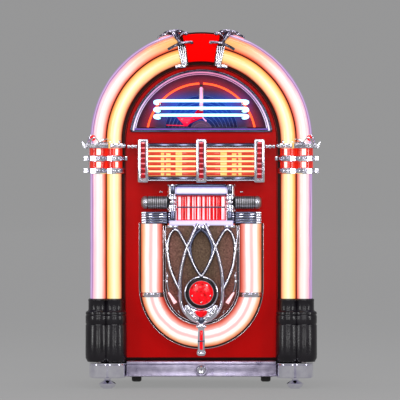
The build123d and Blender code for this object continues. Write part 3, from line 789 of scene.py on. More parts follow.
def plate(points, front, back, round_off=0.0):
    """An upright plate from its outline, given as X and Z, between two depths."""
    drawn([Vector((x, front, z)) for x, z in points])
    bpy.ops.mesh.edge_face_add()
    bpy.ops.mesh.extrude_region_move(TRANSFORM_OT_translate={"value": (0, back - front, 0)})
    bpy.ops.mesh.select_all(action="SELECT")
    bpy.ops.mesh.normals_make_consistent(inside=False)
    obj = done()
    return soften(obj, round_off) if round_off else obj


def prism(points, x0, x1, round_off=0.0):
    """A bar along X from its section, given as Y and Z."""
    drawn([Vector((x0, y, z)) for y, z in points])
    bpy.ops.mesh.edge_face_add()
    bpy.ops.mesh.extrude_region_move(TRANSFORM_OT_translate={"value": (x1 - x0, 0, 0)})
    bpy.ops.mesh.select_all(action="SELECT")
    bpy.ops.mesh.normals_make_consistent(inside=False)
    obj = done()
    return soften(obj, round_off) if round_off else obj


def turned(profile, centre, axis=(0, 0, 1), across=(1, 0, 0), steps=48):
    """A body of revolution. The profile gives radius and height along the axis."""
    axis, across, centre = Vector(axis), Vector(across), Vector(centre)
    drawn([centre + across * radius + axis * height for radius, height in profile])
    bpy.ops.mesh.spin(steps=steps, angle=2 * math.pi, center=centre, axis=axis)
    obj = done()
    return close_up(obj)


def block(x0, x1, y0, y1, z0, z1, round_off=0.001, segments=2):
    """A box between two corners with rounded edges."""
    bpy.ops.object.select_all(action="DESELECT")
    middle = ((x0 + x1) / 2, (y0 + y1) / 2, (z0 + z1) / 2)
    bpy.ops.mesh.primitive_cube_add(size=1, location=middle, scale=(x1 - x0, y1 - y0, z1 - z0))
    return soften(settle(), round_off, segments)


def ball(centre, radius, squash=(1, 1, 1), sides=24):
    bpy.ops.object.select_all(action="DESELECT")
    bpy.ops.mesh.primitive_uv_sphere_add(
        segments=sides, ring_count=sides // 2, radius=radius, location=centre, scale=squash
    )
    return settle()


def bar(start, end, radius, far_radius=None, sides=24, round_off=0.0):
    """A round bar or cone from one point to another."""
    start, end = Vector(start), Vector(end)
    turn = (end - start).to_track_quat("Z", "Y").to_euler()
    bpy.ops.object.select_all(action="DESELECT")
    bpy.ops.mesh.primitive_cone_add(
        vertices=sides, radius1=radius, radius2=radius if far_radius is None else far_radius,
        depth=(end - start).length, location=(start + end) / 2, rotation=turn,
    )
    obj = settle()
    return soften(obj, round_off, 2, 50) if round_off else obj


def wire(points, radius, smooth=True, closed=False, sides=3, taper=None):
    """A round rod bent along the points."""
    bpy.ops.object.select_all(action="DESELECT")
    bpy.ops.curve.primitive_nurbs_path_add()
    curve = bpy.context.object.data
    curve.splines.clear()
    spline = curve.splines.new("NURBS" if smooth else "POLY")
    spline.points.add(len(points) - 1)
    for index, (point, place) in enumerate(zip(spline.points, points)):
        point.co = (*place, 1.0)
        point.radius = taper(index / (len(points) - 1)) if taper else 1.0
    if smooth:
        spline.order_u = 4
        spline.use_endpoint_u = not closed
    spline.use_cyclic_u = closed
    spline.resolution_u = 6
    curve.bevel_depth = radius
    curve.bevel_resolution = sides
    curve.use_fill_caps = not closed
    bpy.ops.object.convert(target="MESH")
    return close_up(settle())


def hoop(centre, ring, radius, start=0.0, sweep=360.0, steps=48, sides=20, scale=(1, 1)):
    """A ring, or part of one, that faces the front. Angles are from +X, upwards."""
    bpy.ops.object.select_all(action="DESELECT")
    centre = Vector(centre)
    bpy.ops.mesh.primitive_circle_add(
        vertices=sides, radius=radius, location=centre + Vector((ring, 0, 0)), scale=(*scale, 1),
        fill_type="NOTHING" if sweep >= 360 else "NGON",
    )
    obj = settle()
    obj.data.transform(
        Matrix.Translation(centre)
        @ Matrix.Rotation(math.radians(-start), 4, "Y")
        @ Matrix.Translation(-centre)
    )
    edit(obj)
    bpy.ops.mesh.spin(
        steps=steps, angle=math.radians(sweep), center=centre, axis=(0, 1, 0), use_auto_merge=False
    )
    done()
    if sweep < 360:
        cap_ends(obj)
    return close_up(obj)


def cap_ends(obj):
    """Close the open ends of a spun bar."""
    edit(obj)
    bpy.ops.mesh.remove_doubles(threshold=0.00001)
    bpy.ops.mesh.select_all(action="DESELECT")
    bpy.ops.mesh.select_non_manifold(
        extend=False, use_wire=False, use_multi_face=False, use_non_contiguous=False, use_verts=False
    )
    bpy.ops.mesh.fill_holes(sides=0)
    done()


def copy_of(obj, change):
    """A copy with its own mesh, changed by a matrix."""
    twin = obj.copy()
    twin.data = obj.data.copy()
    bpy.context.collection.objects.link(twin)
    twin.data.transform(change)
    if change.determinant() < 0:
        twin.data.flip_normals()
    return twin


MIRROR = Matrix.Diagonal((-1, 1, 1, 1))


def mirrored(*objects):
    return [copy_of(obj, MIRROR) for obj in objects]


def spun(obj, centre, degrees):
    """A copy turned about a Y axis, upwards from +X."""
    turn = Matrix.Rotation(math.radians(-degrees), 4, "Y")
    centre = Matrix.Translation(centre)
    return copy_of(obj, centre @ turn @ centre.inverted())


def joined(objects):
    objects = list(objects)
    pick(*objects)
    if len(objects) > 1:
        bpy.ops.object.join()
    return bpy.context.object


def piece(name, objects, material, body, slot, replaces=(), smooth=35):
    """Join the objects into one finished piece, hang it on its body and hide the frame parts that it
    replaces.
    """
    obj = joined(objects)
    settle()
    obj.name = name
    obj.data.name = name
    obj.data.materials.clear()
    obj.data.materials.append(finish(material))
    pick(obj)
    bpy.ops.object.shade_smooth_by_angle(angle=math.radians(smooth))
    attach(obj, body)
    if replaces:
        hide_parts(*replaces)
    return obj


def pair(name, parts, *rest, **settings):
    """One piece made of the parts and their mirror image on the other side."""
    piece(name, parts + mirrored(*parts), *rest, **settings)


def dress(node, material):
    """Give a frame part its finish."""
    obj = bpy.data.objects[node]
    obj.data.materials.clear()
    obj.data.materials.append(finish(material))


def on_arch(radius, degrees, depth, centre_z=None):
    """Point round the arch's centre, or another centre on the middle line."""
    angle = math.radians(degrees)
    middle = ARCH_Z if centre_z is None else centre_z
    return Vector((radius * math.cos(angle), depth, middle + radius * math.sin(angle)))


# Sizes and colours that a user would change


class JukeboxStage(bpy.types.PropertyGroup):
    """Camera, floor and lights."""

    distance: bpy.props.FloatProperty(
        name="Camera distance", description="From the camera to the front of the object",
        default=13.0, min=3.0, unit="LENGTH",
    )
    eye: bpy.props.FloatProperty(
        name="Eye height", description="Height of the camera", default=0.85, unit="LENGTH"
    )
    view_width: bpy.props.FloatProperty(
        name="View width", description="Width that the picture takes in at the object's front",
        default=1.6, min=0.5, unit="LENGTH",
    )
    aim: bpy.props.FloatVectorProperty(
        name="Aim", description="Right and up of the picture's middle at the object's front",
        default=(-0.005, 0.758), size=2, subtype="XYZ",
    )
    backdrop: bpy.props.FloatVectorProperty(
        name="Backdrop", description="Colour of the floor and the wall behind",
        default=(0.30, 0.30, 0.30), size=3, min=0.0, max=1.0, subtype="COLOR",
    )


class JukeboxSizes(bpy.types.PropertyGroup):
    """Sizes of the pieces modelled here."""

    neon: bpy.props.FloatProperty(
        name="Neon tube", description="Radius of the neon tubes in the window",
        default=0.0055, min=0.001, unit="LENGTH",
    )
    lattice: bpy.props.FloatProperty(
        name="Lattice bar", description="Radius of the bars of the grille casting",
        default=0.0044, min=0.001, unit="LENGTH",
    )
    core: bpy.props.FloatProperty(
        name="Lit core", description="Share of a light tube that its lit core fills",
        default=0.80, min=0.1, max=0.95, subtype="FACTOR",
    )
    title_rows: bpy.props.IntProperty(
        name="Title rows", description="Rows of title cards in each window", default=5, min=1
    )


def sizes():
    return bpy.context.scene.jukebox_sizes


def stage_sizes():
    return bpy.context.scene.jukebox_stage


class JukeboxPiece:
    """What every operator here shares."""

    bl_options = {"REGISTER", "UNDO"}

    def execute(self, context):
        self.build()
        return {"FINISHED"}


class JUKEBOX_OT_stage(JukeboxPiece, bpy.types.Operator):
    """Set up the camera, the pale floor and the soft lights"""

    bl_idname = "jukebox.stage"
    bl_label = "Stage"

    def build(self):
        self.camera()
        self.backdrop()
        self.lights()
        bpy.context.scene.view_settings.view_transform = "Standard"

    def camera(self):
        look = stage_sizes()
        front = CAD_BOX[0][1]
        bpy.ops.object.camera_add(
            location=(look.aim[0], front - look.distance, look.eye), rotation=(math.pi / 2, 0, 0)
        )
        camera = bpy.context.object
        camera.data.sensor_width = 36.0
        camera.data.lens = 36.0 * look.distance / look.view_width
        camera.data.shift_y = (look.aim[1] - look.eye) / look.view_width
        camera.data.clip_end = 200.0
        bpy.context.scene.camera = camera

    def backdrop(self):
        """A floor that curves up into a round wall, so that every side view has the same plain ground."""
        made = Recipe("backdrop", roughness=0.9, specular_ior_level=0.1, emission_strength=0.96)
        cloud = made.noise(made.place(), 0.7, 3.0)
        tone = tuple(stage_sizes().backdrop)
        dim = tuple(part * 0.94 for part in tone)
        made.set("Base Color", made.mix(0.75, made.mix(cloud, dim, tone), (0.0, 0.0, 0.0)))
        made.set("Emission Color", tone)
        flat, curve, steps = 36.0, 8.0, 12
        profile = [(0.0, 0.0), (8.0, 0.0), (20.0, 0.0), (flat, 0.0)]
        for step in range(1, steps + 1):
            turn = step / steps * math.pi / 2
            profile.append((flat + curve * math.sin(turn), curve - curve * math.cos(turn)))
        profile.append((flat + curve, 34.0))
        drawn([(reach, 0, up) for reach, up in profile])
        bpy.ops.mesh.spin(steps=96, angle=2 * math.pi, center=(0, 0, 0), axis=(0, 0, 1))
        bpy.ops.mesh.select_all(action="SELECT")
        bpy.ops.mesh.remove_doubles(threshold=0.0001)
        bowl = done()
        bowl.name = "backdrop_bowl"
        bowl.data.materials.append(made.material)
        pick(bowl)
        bpy.ops.object.shade_smooth()

    def lights(self):
        for name, place, turn, size, power in (
            ("left_strip", (-0.95, -5.5, 1.7), (90, 0, -8), (0.5, 2.2), 26),
            ("right_strip", (0.95, -5.5, 1.7), (90, 0, 8), (0.5, 2.2), 26),
            ("left_softbox", (-3.4, -2.6, 1.6), (88, 0, -52), (0.5, 2.2), 34),
            ("right_softbox", (3.4, -2.6, 1.6), (88, 0, 52), (0.5, 2.2), 34),
            ("high_softbox", (0.0, -3.8, 4.4), (45, 0, 0), (3.6, 1.6), 80),
            ("top_softbox", (0.0, 0.6, 4.2), (-8, 0, 0), (3.0, 2.0), 60),
        ):
            turn = [math.radians(part) for part in turn]
            bpy.ops.object.light_add(type="AREA", location=place, rotation=turn)
            light = bpy.context.object
            light.name = name
            light.data.shape = "RECTANGLE"
            light.data.size, light.data.size_y = size
            light.data.energy = power
            light.visible_camera = False
        world = bpy.data.worlds.new("studio")
        world.use_nodes = True
        world.node_tree.nodes["Background"].inputs[0].default_value = (0.30, 0.28, 0.40, 1.0)
        world.node_tree.nodes["Background"].inputs[1].default_value = 0.55
        bpy.context.scene.world = world


def tube_arch(radius, x, degrees, far):
    """A half-circle's part of tube on the left side, from the column's top round to far."""
    return hoop((0, TUBE_Y, ARCH_Z), x, radius, 180 - far, far - degrees, 40, 32)


def tube_column(radius, x):
    return bar((-x, TUBE_Y, TUBE_LOW - 0.03), (-x, TUBE_Y, ARCH_Z), radius, sides=40)


class JUKEBOX_OT_light_tubes(JukeboxPiece, bpy.types.Operator):
    """Model the light tubes of the columns and the arch, each a sleeve round a lit core"""

    bl_idname = "jukebox.light_tubes"
    bl_label = "Light tubes"

    def build(self):
        core = sizes().core
        for name, radius, x, sleeve, heart, slot in (
            ("outer", OUTER_R, OUTER_X, "tube_pink", "core_white", "tube_pink"),
            ("inner", INNER_R, INNER_X, "tube_cream", "core_cream", "tube_cream"),
        ):
            inside = radius * core
            skin = [tube_column(radius, x), tube_arch(radius, x, 0, 78)]
            piece(
                f"{name}_tube_sleeves", skin + mirrored(*skin), sleeve, FRONT_DOOR, slot,
                (f"{name}_tubes",),
            )
            lit = [tube_column(inside, x), tube_arch(inside, x, 0, 77.6)]
            replaced = ("tube_lamps",) if name == "outer" else ()
            piece(
                f"{name}_tube_cores", lit + mirrored(*lit), heart, FRONT_DOOR, "lamp_white", replaced
            )


class JUKEBOX_OT_u_tube(JukeboxPiece, bpy.types.Operator):
    """Model the U-shaped light tube with its rings and the bright line inside"""

    bl_idname = "jukebox.u_tube"
    bl_label = "U tube"

    def tube(self, radius, depth=0.0):
        centre = (0, U_Y + depth, U_Z)
        leg = bar((-U_X, U_Y + depth, U_Z), (-U_X, U_Y + depth, U_TOP), radius, sides=48)
        return [leg, *mirrored(leg), hoop(centre, U_X, radius, 180, 180, 64, 40)]

    def build(self):
        sleeve = self.tube(U_R)
        piece("u_tube_sleeve", sleeve, "tube_peach", FRONT_DOOR, "tube_peach", ("u_tube",))
        piece("u_tube_core", self.tube(U_R * 0.76), "core_peach", FRONT_DOOR, "lamp_white")
        self.lines()
        self.rings()

    def lines(self):
        """The pair of lamps that shine through each leg as white lines."""
        depth = U_Y - U_R * 0.72
        lines = []
        for offset in (-0.006, 0.011):
            x = U_X + offset
            route = [(-x, depth, U_TOP - 0.004), (-x, depth, U_Z + 0.02), (-x, depth, U_Z - 0.02)]
            lines.append(wire(route, 0.0028))
        lines += mirrored(*lines)
        piece("u_tube_lines", lines, "lamp_white", FRONT_DOOR, "lamp_white")

    def rings(self):
        """Three stacked rings round each leg, with a jewelled knob on the inner side."""
        x = U_X - 0.0022
        profile = (
            (42, 368), (46.5, 368), (47.5, 370), (47.5, 372), (45.5, 373), (45.5, 375), (48, 376),
            (48, 380), (45.5, 381), (45.5, 383), (47.5, 384), (47.5, 386), (46.5, 387), (42, 387),
            (42, 368),
        )
        ring = turned(in_mm(profile), (-x, U_Y, 0), steps=56)
        knob = ball((-x + U_R + 0.009, U_Y, 0.384), 0.0072, (1.1, 1, 0.8), 16)
        pin = bar((-x + U_R - 0.002, U_Y, 0.384), (-x + U_R + 0.006, U_Y, 0.384), 0.0035, sides=16)
        parts = [ring, knob, pin]
        pair("u_tube_rings", parts, "chrome", FRONT_DOOR, "chrome")


def lobe(profile, x, steps=64):
    """A body of revolution on a column's line. The profile is radius and height in millimetres."""
    return turned(in_mm(profile), (x, TUBE_Y, 0), steps=steps)


class JUKEBOX_OT_columns(JukeboxPiece, bpy.types.Operator):
    """Model the black pedestals and the chrome bases under the columns"""

    bl_idname = "jukebox.columns"
    bl_label = "Pedestals and bases"

    pedestal = (
        (0, 108), (42, 108), (50, 123), (50.5, 140), (50, 255), (47.5, 259), (50, 263), (50, 292),
        (47.5, 296), (50, 300), (49, 308), (41, 313), (38.5, 318), (38.5, 352), (40, 355),
        (38.5, 359), (34, 362), (0, 362),
    )

    def build(self):
        lobes = [lobe(self.pedestal, -OUTER_X), lobe(self.pedestal, -INNER_X)]
        pair("pedestal_mouldings", lobes, "black_gloss", FRONT_DOOR,
            "black_gloss", ("pedestals",),
        )
        self.bases()

    def bases(self):
        floor, top = low("column_bases")[2] * 1000, high("column_bases")[2] * 1000
        profile = (
            (0, floor), (41, floor), (46, floor + 5), (46, top - 10), (43.5, top - 8),
            (47.4, top - 5), (47.4, top - 1.5), (44, top), (0, top),
        )
        parts = [lobe(profile, x, 12) for x in (-OUTER_X + 0.011, -INNER_X + 0.001)]
        ribs = (0.3035, 0.3065, 0.3095)
        depth = TUBE_Y + 0.012
        for x in ribs:
            parts.append(bar((-x, depth, floor / 1000 + 0.004), (-x, depth, 0.099), 0.0018, sides=12))
        pair("column_base_castings", parts, "chrome", CABINET, "chrome",
            ("column_bases",), smooth=20,
        )


class JUKEBOX_OT_rail(JukeboxPiece, bpy.types.Operator):
    """Model the base rail, its lock and the two levelling feet"""

    bl_idname = "jukebox.rail"
    bl_label = "Base rail, lock and feet"

    section = (
        (-204, 111), (-254, 111), (-260, 108), (-261.5, 99), (-257.5, 97), (-257.5, 94.5),
        (-260, 93), (-259, 74), (-260, 55), (-261.8, 53), (-261.8, 49.5), (-258, 48), (-204, 48),
    )
    foot = (
        (0, 0), (19, 0), (21, 2.5), (28, 6), (34.3, 18), (34.3, 20.5), (29, 24), (13, 34), (10, 36),
        (10, 41), (7.4, 42), (7.4, 84), (0, 84),
    )

    def build(self):
        middle = (low("lock_cylinder")[2] + high("lock_cylinder")[2]) / 2
        front = low("lock_cylinder")[1]
        half = high("base_rail")[0]
        rail = [prism(in_mm(self.section), -half, half, 0.0008)]
        rail.append(hoop((0, front + 0.0055, middle), 0.0215, 0.0042, steps=56, sides=16))
        piece("base_rail_moulding", rail, "soft_chrome", CABINET, "chrome", ("base_rail",))
        well = turned(
            in_mm(((14.4, -1), (20, -1), (20, 3.6), (14.4, 3.6), (14.4, -1))),
            (0, front + 0.0095, middle), (0, -1, 0),
        )
        piece("lock_well", [well], "black_metal", CABINET, "black_metal")
        hub = ((0, 0), (13.6, 0), (13.6, 49), (16.8, 52), (16.8, 54.5), (13, 57), (11.5, 56.3), (0, 56.3))
        barrel = turned(in_mm(hub), (0, front + 0.058, middle), (0, -1, 0))
        cam = block(-0.008, 0.048, -0.214, -0.210, middle - 0.007, middle + 0.007)
        piece("lock_barrel", [barrel, cam], "chrome", "lock", "chrome", ("lock_cylinder",))
        slot = block(-0.0012, 0.0012, front + 0.001, front + 0.004, middle - 0.006, middle + 0.006, 0.0004)
        piece("lock_keyway", [slot], "rubber_black", "lock", "rubber_black")
        for side in ("left", "right"):
            x = (low(f"foot_{side}")[0] + high(f"foot_{side}")[0]) / 2
            cup = turned(in_mm(self.foot), (x, TUBE_Y, 0), steps=12)
            nut = turned(
                in_mm(((7.6, 37), (15, 37), (15, 41.5), (7.6, 41.5), (7.6, 37))), (x, TUBE_Y, 0), steps=6
            )
            piece(
                f"foot_{side}_casting", [cup, nut], "chrome", f"foot_{side}", "chrome",
                (f"foot_{side}",), smooth=15,
            )


class JUKEBOX_OT_collars(JukeboxPiece, bpy.types.Operator):
    """Model the stacked rings, red sleeves, trays and scrolls at the top of the columns"""

    bl_idname = "jukebox.collars"
    bl_label = "Collars"

    def build(self):
        chrome_parts = []
        for floor in (863, 913):
            chrome_parts += self.ring(floor)
        chrome_parts += self.tray() + self.scrolls() + self.rod()
        nub = block(-0.308, -0.296, -0.266, -0.246, 0.916, 0.933, 0.003)
        outer_nubs = [
            block(-0.472, -0.455, -0.270, -0.240, z, z + 0.019, 0.002) for z in (0.915, 0.865)
        ]
        parts = chrome_parts + [nub, *outer_nubs]
        pair("collar_castings", parts, "chrome", FRONT_DOOR, "chrome",
            ("collars",), smooth=18,
        )
        self.sleeves()
        gem = ball((-0.434, -0.296, 1.006), 0.0115, (0.95, 0.5, 1.0), 12)
        pair("collar_gems", [gem], "gem_red", FRONT_DOOR, "gem_red", smooth=10)

    def ring(self, floor):
        top = floor + 23
        middle = floor + 11.5
        parts = []
        for x, radius in ((-OUTER_X, 45), (-INNER_X, 42)):
            profile = (
                (30, floor + 1), (radius - 3, floor), (radius, floor + 3), (radius, middle - 2.5),
                (radius - 1.6, middle - 1), (radius - 1.6, middle + 1), (radius, middle + 2.5),
                (radius, top - 3), (radius - 3, top), (30, top - 1), (30, floor + 1),
            )
            parts.append(lobe(profile, x, 14))
        return parts

    def tray(self):
        """The ribbed tray across both tubes, with its upturned outer tip."""
        face = -0.300
        shelf = block(-0.466, -0.372, face, TUBE_Y + 0.012, 0.965, 0.985, 0.004)
        ribs = [
            bar((x, face - 0.0005, 0.9655), (x, face - 0.0005, 0.9845), 0.0020, sides=10)
            for x in (-0.462 + 0.0052 * step for step in range(18))
        ]
        tip = plate(
            in_mm(
                ((-459, 964), (-470, 965), (-474, 974), (-480, 990), (-476, 992), (-467, 981), (-459, 979))
            ),
            face + 0.006, -0.242, 0.0012,
        )
        inner = block(-0.366, -0.306, -0.293, TUBE_Y + 0.012, 0.966, 0.984, 0.004)
        studs = [ball((x, -0.294, 0.975), 0.0085, (1, 0.6, 1), 14) for x in (-0.352, -0.331, -0.311)]
        return [shelf, *ribs, tip, inner, *studs]

    def scrolls(self):
        """Leaf work that stands on the tray: two arched claws, a low leaf and a ball."""
        def leaf(points, radius):
            return wire(in_mm(points), radius, taper=lambda share: 1.0 - 0.65 * share)

        back, front = -282, -302
        claw = (
            (-451, back, 985), (-454, front, 1002), (-444, front, 1018), (-430, back, 1021),
            (-420, back, 1008),
        )
        brow = (
            (-447, front, 985), (-440, front, 1000), (-430, front, 1013), (-419, front, 1004),
            (-408, front, 988),
        )
        low_leaf = ((-412, front, 985), (-398, front, 998), (-382, front, 1006), (-370, back, 1000))
        root = ((-418, front, 986), (-400, front, 989), (-380, back, 988), (-362, back, 991))
        pearl = ball((-0.331, -0.270, 0.991), 0.0085, sides=20)
        return [leaf(claw, 0.0048), leaf(brow, 0.0040), leaf(low_leaf, 0.0050), leaf(root, 0.0042), pearl]

    def rod(self):
        """Knurled end that reaches from the collar towards the title display."""
        profile = (
            (0, 0), (9, 0), (9, 8), (6.5, 10), (6.5, 14), (11, 17), (11, 23), (7.5, 26), (7.5, 30),
            (9.5, 33), (9.5, 37), (0, 39),
        )
        return [turned(in_mm(profile), (-0.296, -0.262, 0.9725), (1, 0, 0), (0, 0, 1), 24)]

    def sleeves(self):
        sleeves, sleeve_highlights = [], []
        for floor, top in ((886, 913), (936, 965)):
            for x, radius in ((-OUTER_X, 34.5), (-INNER_X, 33)):
                profile = ((30, floor), (radius, floor), (radius, top), (30, top), (30, floor))
                sleeves.append(lobe(profile, x, 40))
            # Glowing strips on the front of the red sleeves: painted highlights, the reflection of a light on
            # the gloss sleeves.
            for x, half in ((-0.4115, 0.0085), (-0.339, 0.005)):
                sleeve_highlights.append(
                    block(x - half, x + half, -0.2902, -0.280, (floor + 2) / 1000, (top - 2) / 1000, 0.001)
                )
        pair("collar_red_sleeves", sleeves, "sleeve_red", FRONT_DOOR,
            "sleeve_red", ("collar_sleeves",),
        )
        pair("collar_sleeve_highlights", sleeve_highlights, "core_peach", FRONT_DOOR, "lamp_white")


class JUKEBOX_OT_title_display(JukeboxPiece, bpy.types.Operator):
    """Model the posts with their gem columns, the rails and the lit title rows"""

    bl_idname = "jukebox.title_display"
    bl_label = "Title display"

    def build(self):
        self.floor, self.top = low("title_frame")[2], high("title_frame")[2]
        self.front = low("title_frame")[1]
        self.post_x = high("title_frame")[0] - 0.0215
        self.posts()
        self.rails()
        self.rows()

    def posts(self):
        frames, gems, links = [], [], []
        for x in (-self.post_x, 0.0, self.post_x):
            post = block(x - 0.0215, x + 0.0215, self.front, PANEL_FRONT, self.floor, self.top, 0.006, 4)
            edit(post, "FACE")
            bpy.ops.mesh.select_all(action="DESELECT")
            done()
            face = max(post.data.polygons, key=lambda side: -side.normal.y * side.area)
            face.select = True
            pick(post)
            bpy.ops.object.mode_set(mode="EDIT")
            bpy.ops.mesh.inset(thickness=0.0045, depth=0.0)
            bpy.ops.mesh.inset(thickness=0.0035, depth=-0.0035)
            frames.append(done())
            for step in range(7):
                z = self.floor + 0.025 + 0.0208 * step
                gems.append(
                    block(
                        x - 0.0075, x + 0.0075, self.front + 0.001, self.front + 0.012, z - 0.0076,
                        z + 0.0076, 0.0016, 1,
                    )
                )
                links.append(
                    block(
                        x - 0.006, x + 0.006, self.front + 0.0018, self.front + 0.012, z + 0.0078,
                        z + 0.0126, 0.0012, 1,
                    )
                )
        piece("title_posts", frames, "chrome", FRONT_DOOR, "chrome", ("title_frame",))
        piece("title_post_gems", gems, "gem_dark", FRONT_DOOR, "gem_red", smooth=10)
        piece("title_post_links", links, "glow_rose", FRONT_DOOR, "gem_red", smooth=10)

    def rails(self):
        dark, bright = [], []
        inner, outer = 0.0218, self.post_x - 0.0218
        for z0, z1, line in ((0.970, 0.986, 0.968), (0.835, 0.853, 0.8365)):
            section = [
                (-0.236, z0), (-0.272, z0), (-0.278, z0 + 0.004), (-0.278, z1 - 0.004), (-0.272, z1),
                (-0.236, z1),
            ]
            dark.append(prism(section, -outer, -inner, 0.0008))
            bright.append(bar((-outer, -0.2775, line), (-inner, -0.2775, line), 0.0024, sides=16))
        dark += mirrored(*dark)
        bright += mirrored(*bright)
        piece("title_rails", dark, "dark_chrome", FRONT_DOOR, "chrome")
        piece("title_rail_beads", bright, "chrome", FRONT_DOOR, "chrome")

    def rows(self):
        rows = sizes().title_rows
        inner, outer = 0.0218, self.post_x - 0.0218
        lit, strips, cards = [], [], []
        lit.append(block(-outer, -inner, -0.262, -0.237, 0.855, 0.969, 0.001))
        for row in range(rows):
            z = TITLE_Z - TITLE_PITCH * row
            lit.append(bar((-outer, -0.2635, z), (-inner, -0.2625, z), 0.0046, sides=20))
            strips.append(block(-outer, -inner, -0.2665, -0.2625, z - 0.0166, z - 0.0038, 0.0008))
            for x0, x1, drop in ((-0.162, -0.149, 0.0016), (-0.141, -0.123, 0.0034), (-0.103, -0.077, 0.0)):
                cards.append(block(x0, x1, -0.2682, -0.266, z - 0.0160, z - 0.0050 - drop, 0.0004, 1))
        strips.append(block(-outer, -inner, -0.2665, -0.2625, 0.9605, 0.9690, 0.0008))
        for name, parts, material, slot in (
            ("title_light_bars", lit, "title_card", "card_stock"),
            ("title_red_strips", strips, "strip_red", "card_stock"),
            ("title_blank_cards", cards, "card_cream", "card_stock"),
        ):
            replaced = ("title_cards",) if name == "title_light_bars" else ()
            pair(name, parts, material, FRONT_DOOR, slot, replaced)


class JUKEBOX_OT_selector(JukeboxPiece, bpy.types.Operator):
    """Model the selector: its posts, lamp bar, sill, guard rod and ten keys"""

    bl_idname = "jukebox.selector"
    bl_label = "Selector"

    keys = 10
    bands = (
        ((0.4, 5.8),), ((5.4, 0.8), (-6.4, 0.6)), ((-2.6, 4.6),), ((-4.6, 2.6), (4.4, 1.7)),
        ((-1.6, 4.0), (6.2, 0.9)),
        ((-0.4, 4.2),), ((-4.6, 1.7), (4.6, 2.6)), ((1.0, 1.5),), ((-5.8, 0.8),), ((0.2, 6.4),),
    )

    def build(self):
        self.post_x = high("selector_housing")[0] - 0.020
        self.posts()
        self.face()
        self.bank()

    def posts(self):
        column = (
            (0, 656), (20, 656), (20, 716), (16, 719), (20.5, 724), (20.5, 737), (13, 741), (19, 747),
            (19, 752), (13, 757), (20.5, 762), (20.5, 772), (17, 776), (20, 780), (20, 812), (17, 819),
            (0, 822),
        )
        bright = [turned(in_mm(column), (-self.post_x, -0.262, 0), steps=40)]
        bright.append(ball((-self.post_x, -0.285, 0.749), 0.011, (1.1, 0.7, 1), 18))
        flat = block(-self.post_x - 0.020, -self.post_x + 0.020, -0.262, PANEL_FRONT, 0.656, 0.820, 0.002)
        dark = [
            block(-self.post_x - 0.009, -self.post_x + 0.011, -0.2835, -0.270, z0, z1, 0.003)
            for z0, z1 in ((0.662, 0.714), (0.781, 0.816))
        ]
        piece(
            "selector_posts", [*bright, flat, *mirrored(*bright, flat)], "chrome", FRONT_DOOR,
            "chrome", ("selector_housing",),
        )
        pair("selector_post_flutes", dark, "dark_chrome", FRONT_DOOR, "chrome")

    def face(self):
        inner = self.post_x - 0.019
        sill = [
            (-0.236, 0.656), (-0.292, 0.656), (-0.296, 0.660), (-0.296, 0.669), (-0.284, 0.675),
            (-0.236, 0.675),
        ]
        head = [(-0.236, 0.811), (-0.276, 0.811), (-0.281, 0.815), (-0.276, 0.822), (-0.236, 0.822)]
        lip = [(-0.236, 0.7755), (-0.280, 0.7755), (-0.283, 0.778), (-0.280, 0.7815), (-0.236, 0.7815)]
        # The sill is chrome, painted as glowing lilac-white: a painted highlight.
        piece(
            "selector_sill", [prism(sill, -inner - 0.03, inner + 0.03, 0.001)], "lilac_white", FRONT_DOOR,
            "chrome",
        )
        trims = [prism(head, -inner, inner, 0.0008), prism(lip, -inner, inner, 0.0008)]
        piece("selector_head", trims, "dark_chrome", FRONT_DOOR, "chrome")
        rod = [bar((-inner, -0.2885, 0.729), (inner, -0.2885, 0.729), 0.003, sides=16)]
        piece("selector_guard_rod", rod, "dark_chrome", FRONT_DOOR, "chrome")
        lamp_bar = [bar((-inner, -0.2745, LAMP_Z), (inner, -0.2745, LAMP_Z), 0.0145, sides=40)]
        piece("selector_lamp", lamp_bar, "lamp_lilac", FRONT_DOOR, "lamp_white", ("selector_lamp_bar",))
        back = [block(-inner, inner, -0.2440, PANEL_FRONT, 0.675, 0.776, 0.001)]
        piece("selector_back_plate", back, "key_red", FRONT_DOOR, "gem_red")
        feet = [block(-0.137, -0.092, -0.290, PANEL_FRONT, 0.646, 0.656, 0.003)]
        pair("selector_feet", feet, "chrome", FRONT_DOOR, "chrome")

    def bank(self):
        """Red caps, each with pale bands: a middle and a half width in millimetres from the key's middle."""
        for number in range(1, self.keys + 1):
            node = f"key_{number:02d}"
            x0, x1 = low(node)[0], high(node)[0]
            front = low(node)[1]
            blade = block(x0, x1, front, front + 0.010, low(node)[2], 0.773, 0.0028, 3)
            hub = bar((x0, -0.262, 0.768), (x1, -0.262, 0.768), 0.0048, sides=16)
            piece(f"{node}_cap", [blade, hub], "key_red", node, "key_white", (node,))
            bands = []
            for middle, half in self.bands[number - 1]:
                x = (x0 + x1) / 2 + middle / 1000
                bands.append(
                    block(
                        x - half / 1000, x + half / 1000, front - 0.0006, front + 0.002, 0.679, 0.771,
                        0.0008,
                    )
                )
            piece(f"{node}_bands", bands, "key_white", node, "key_white")


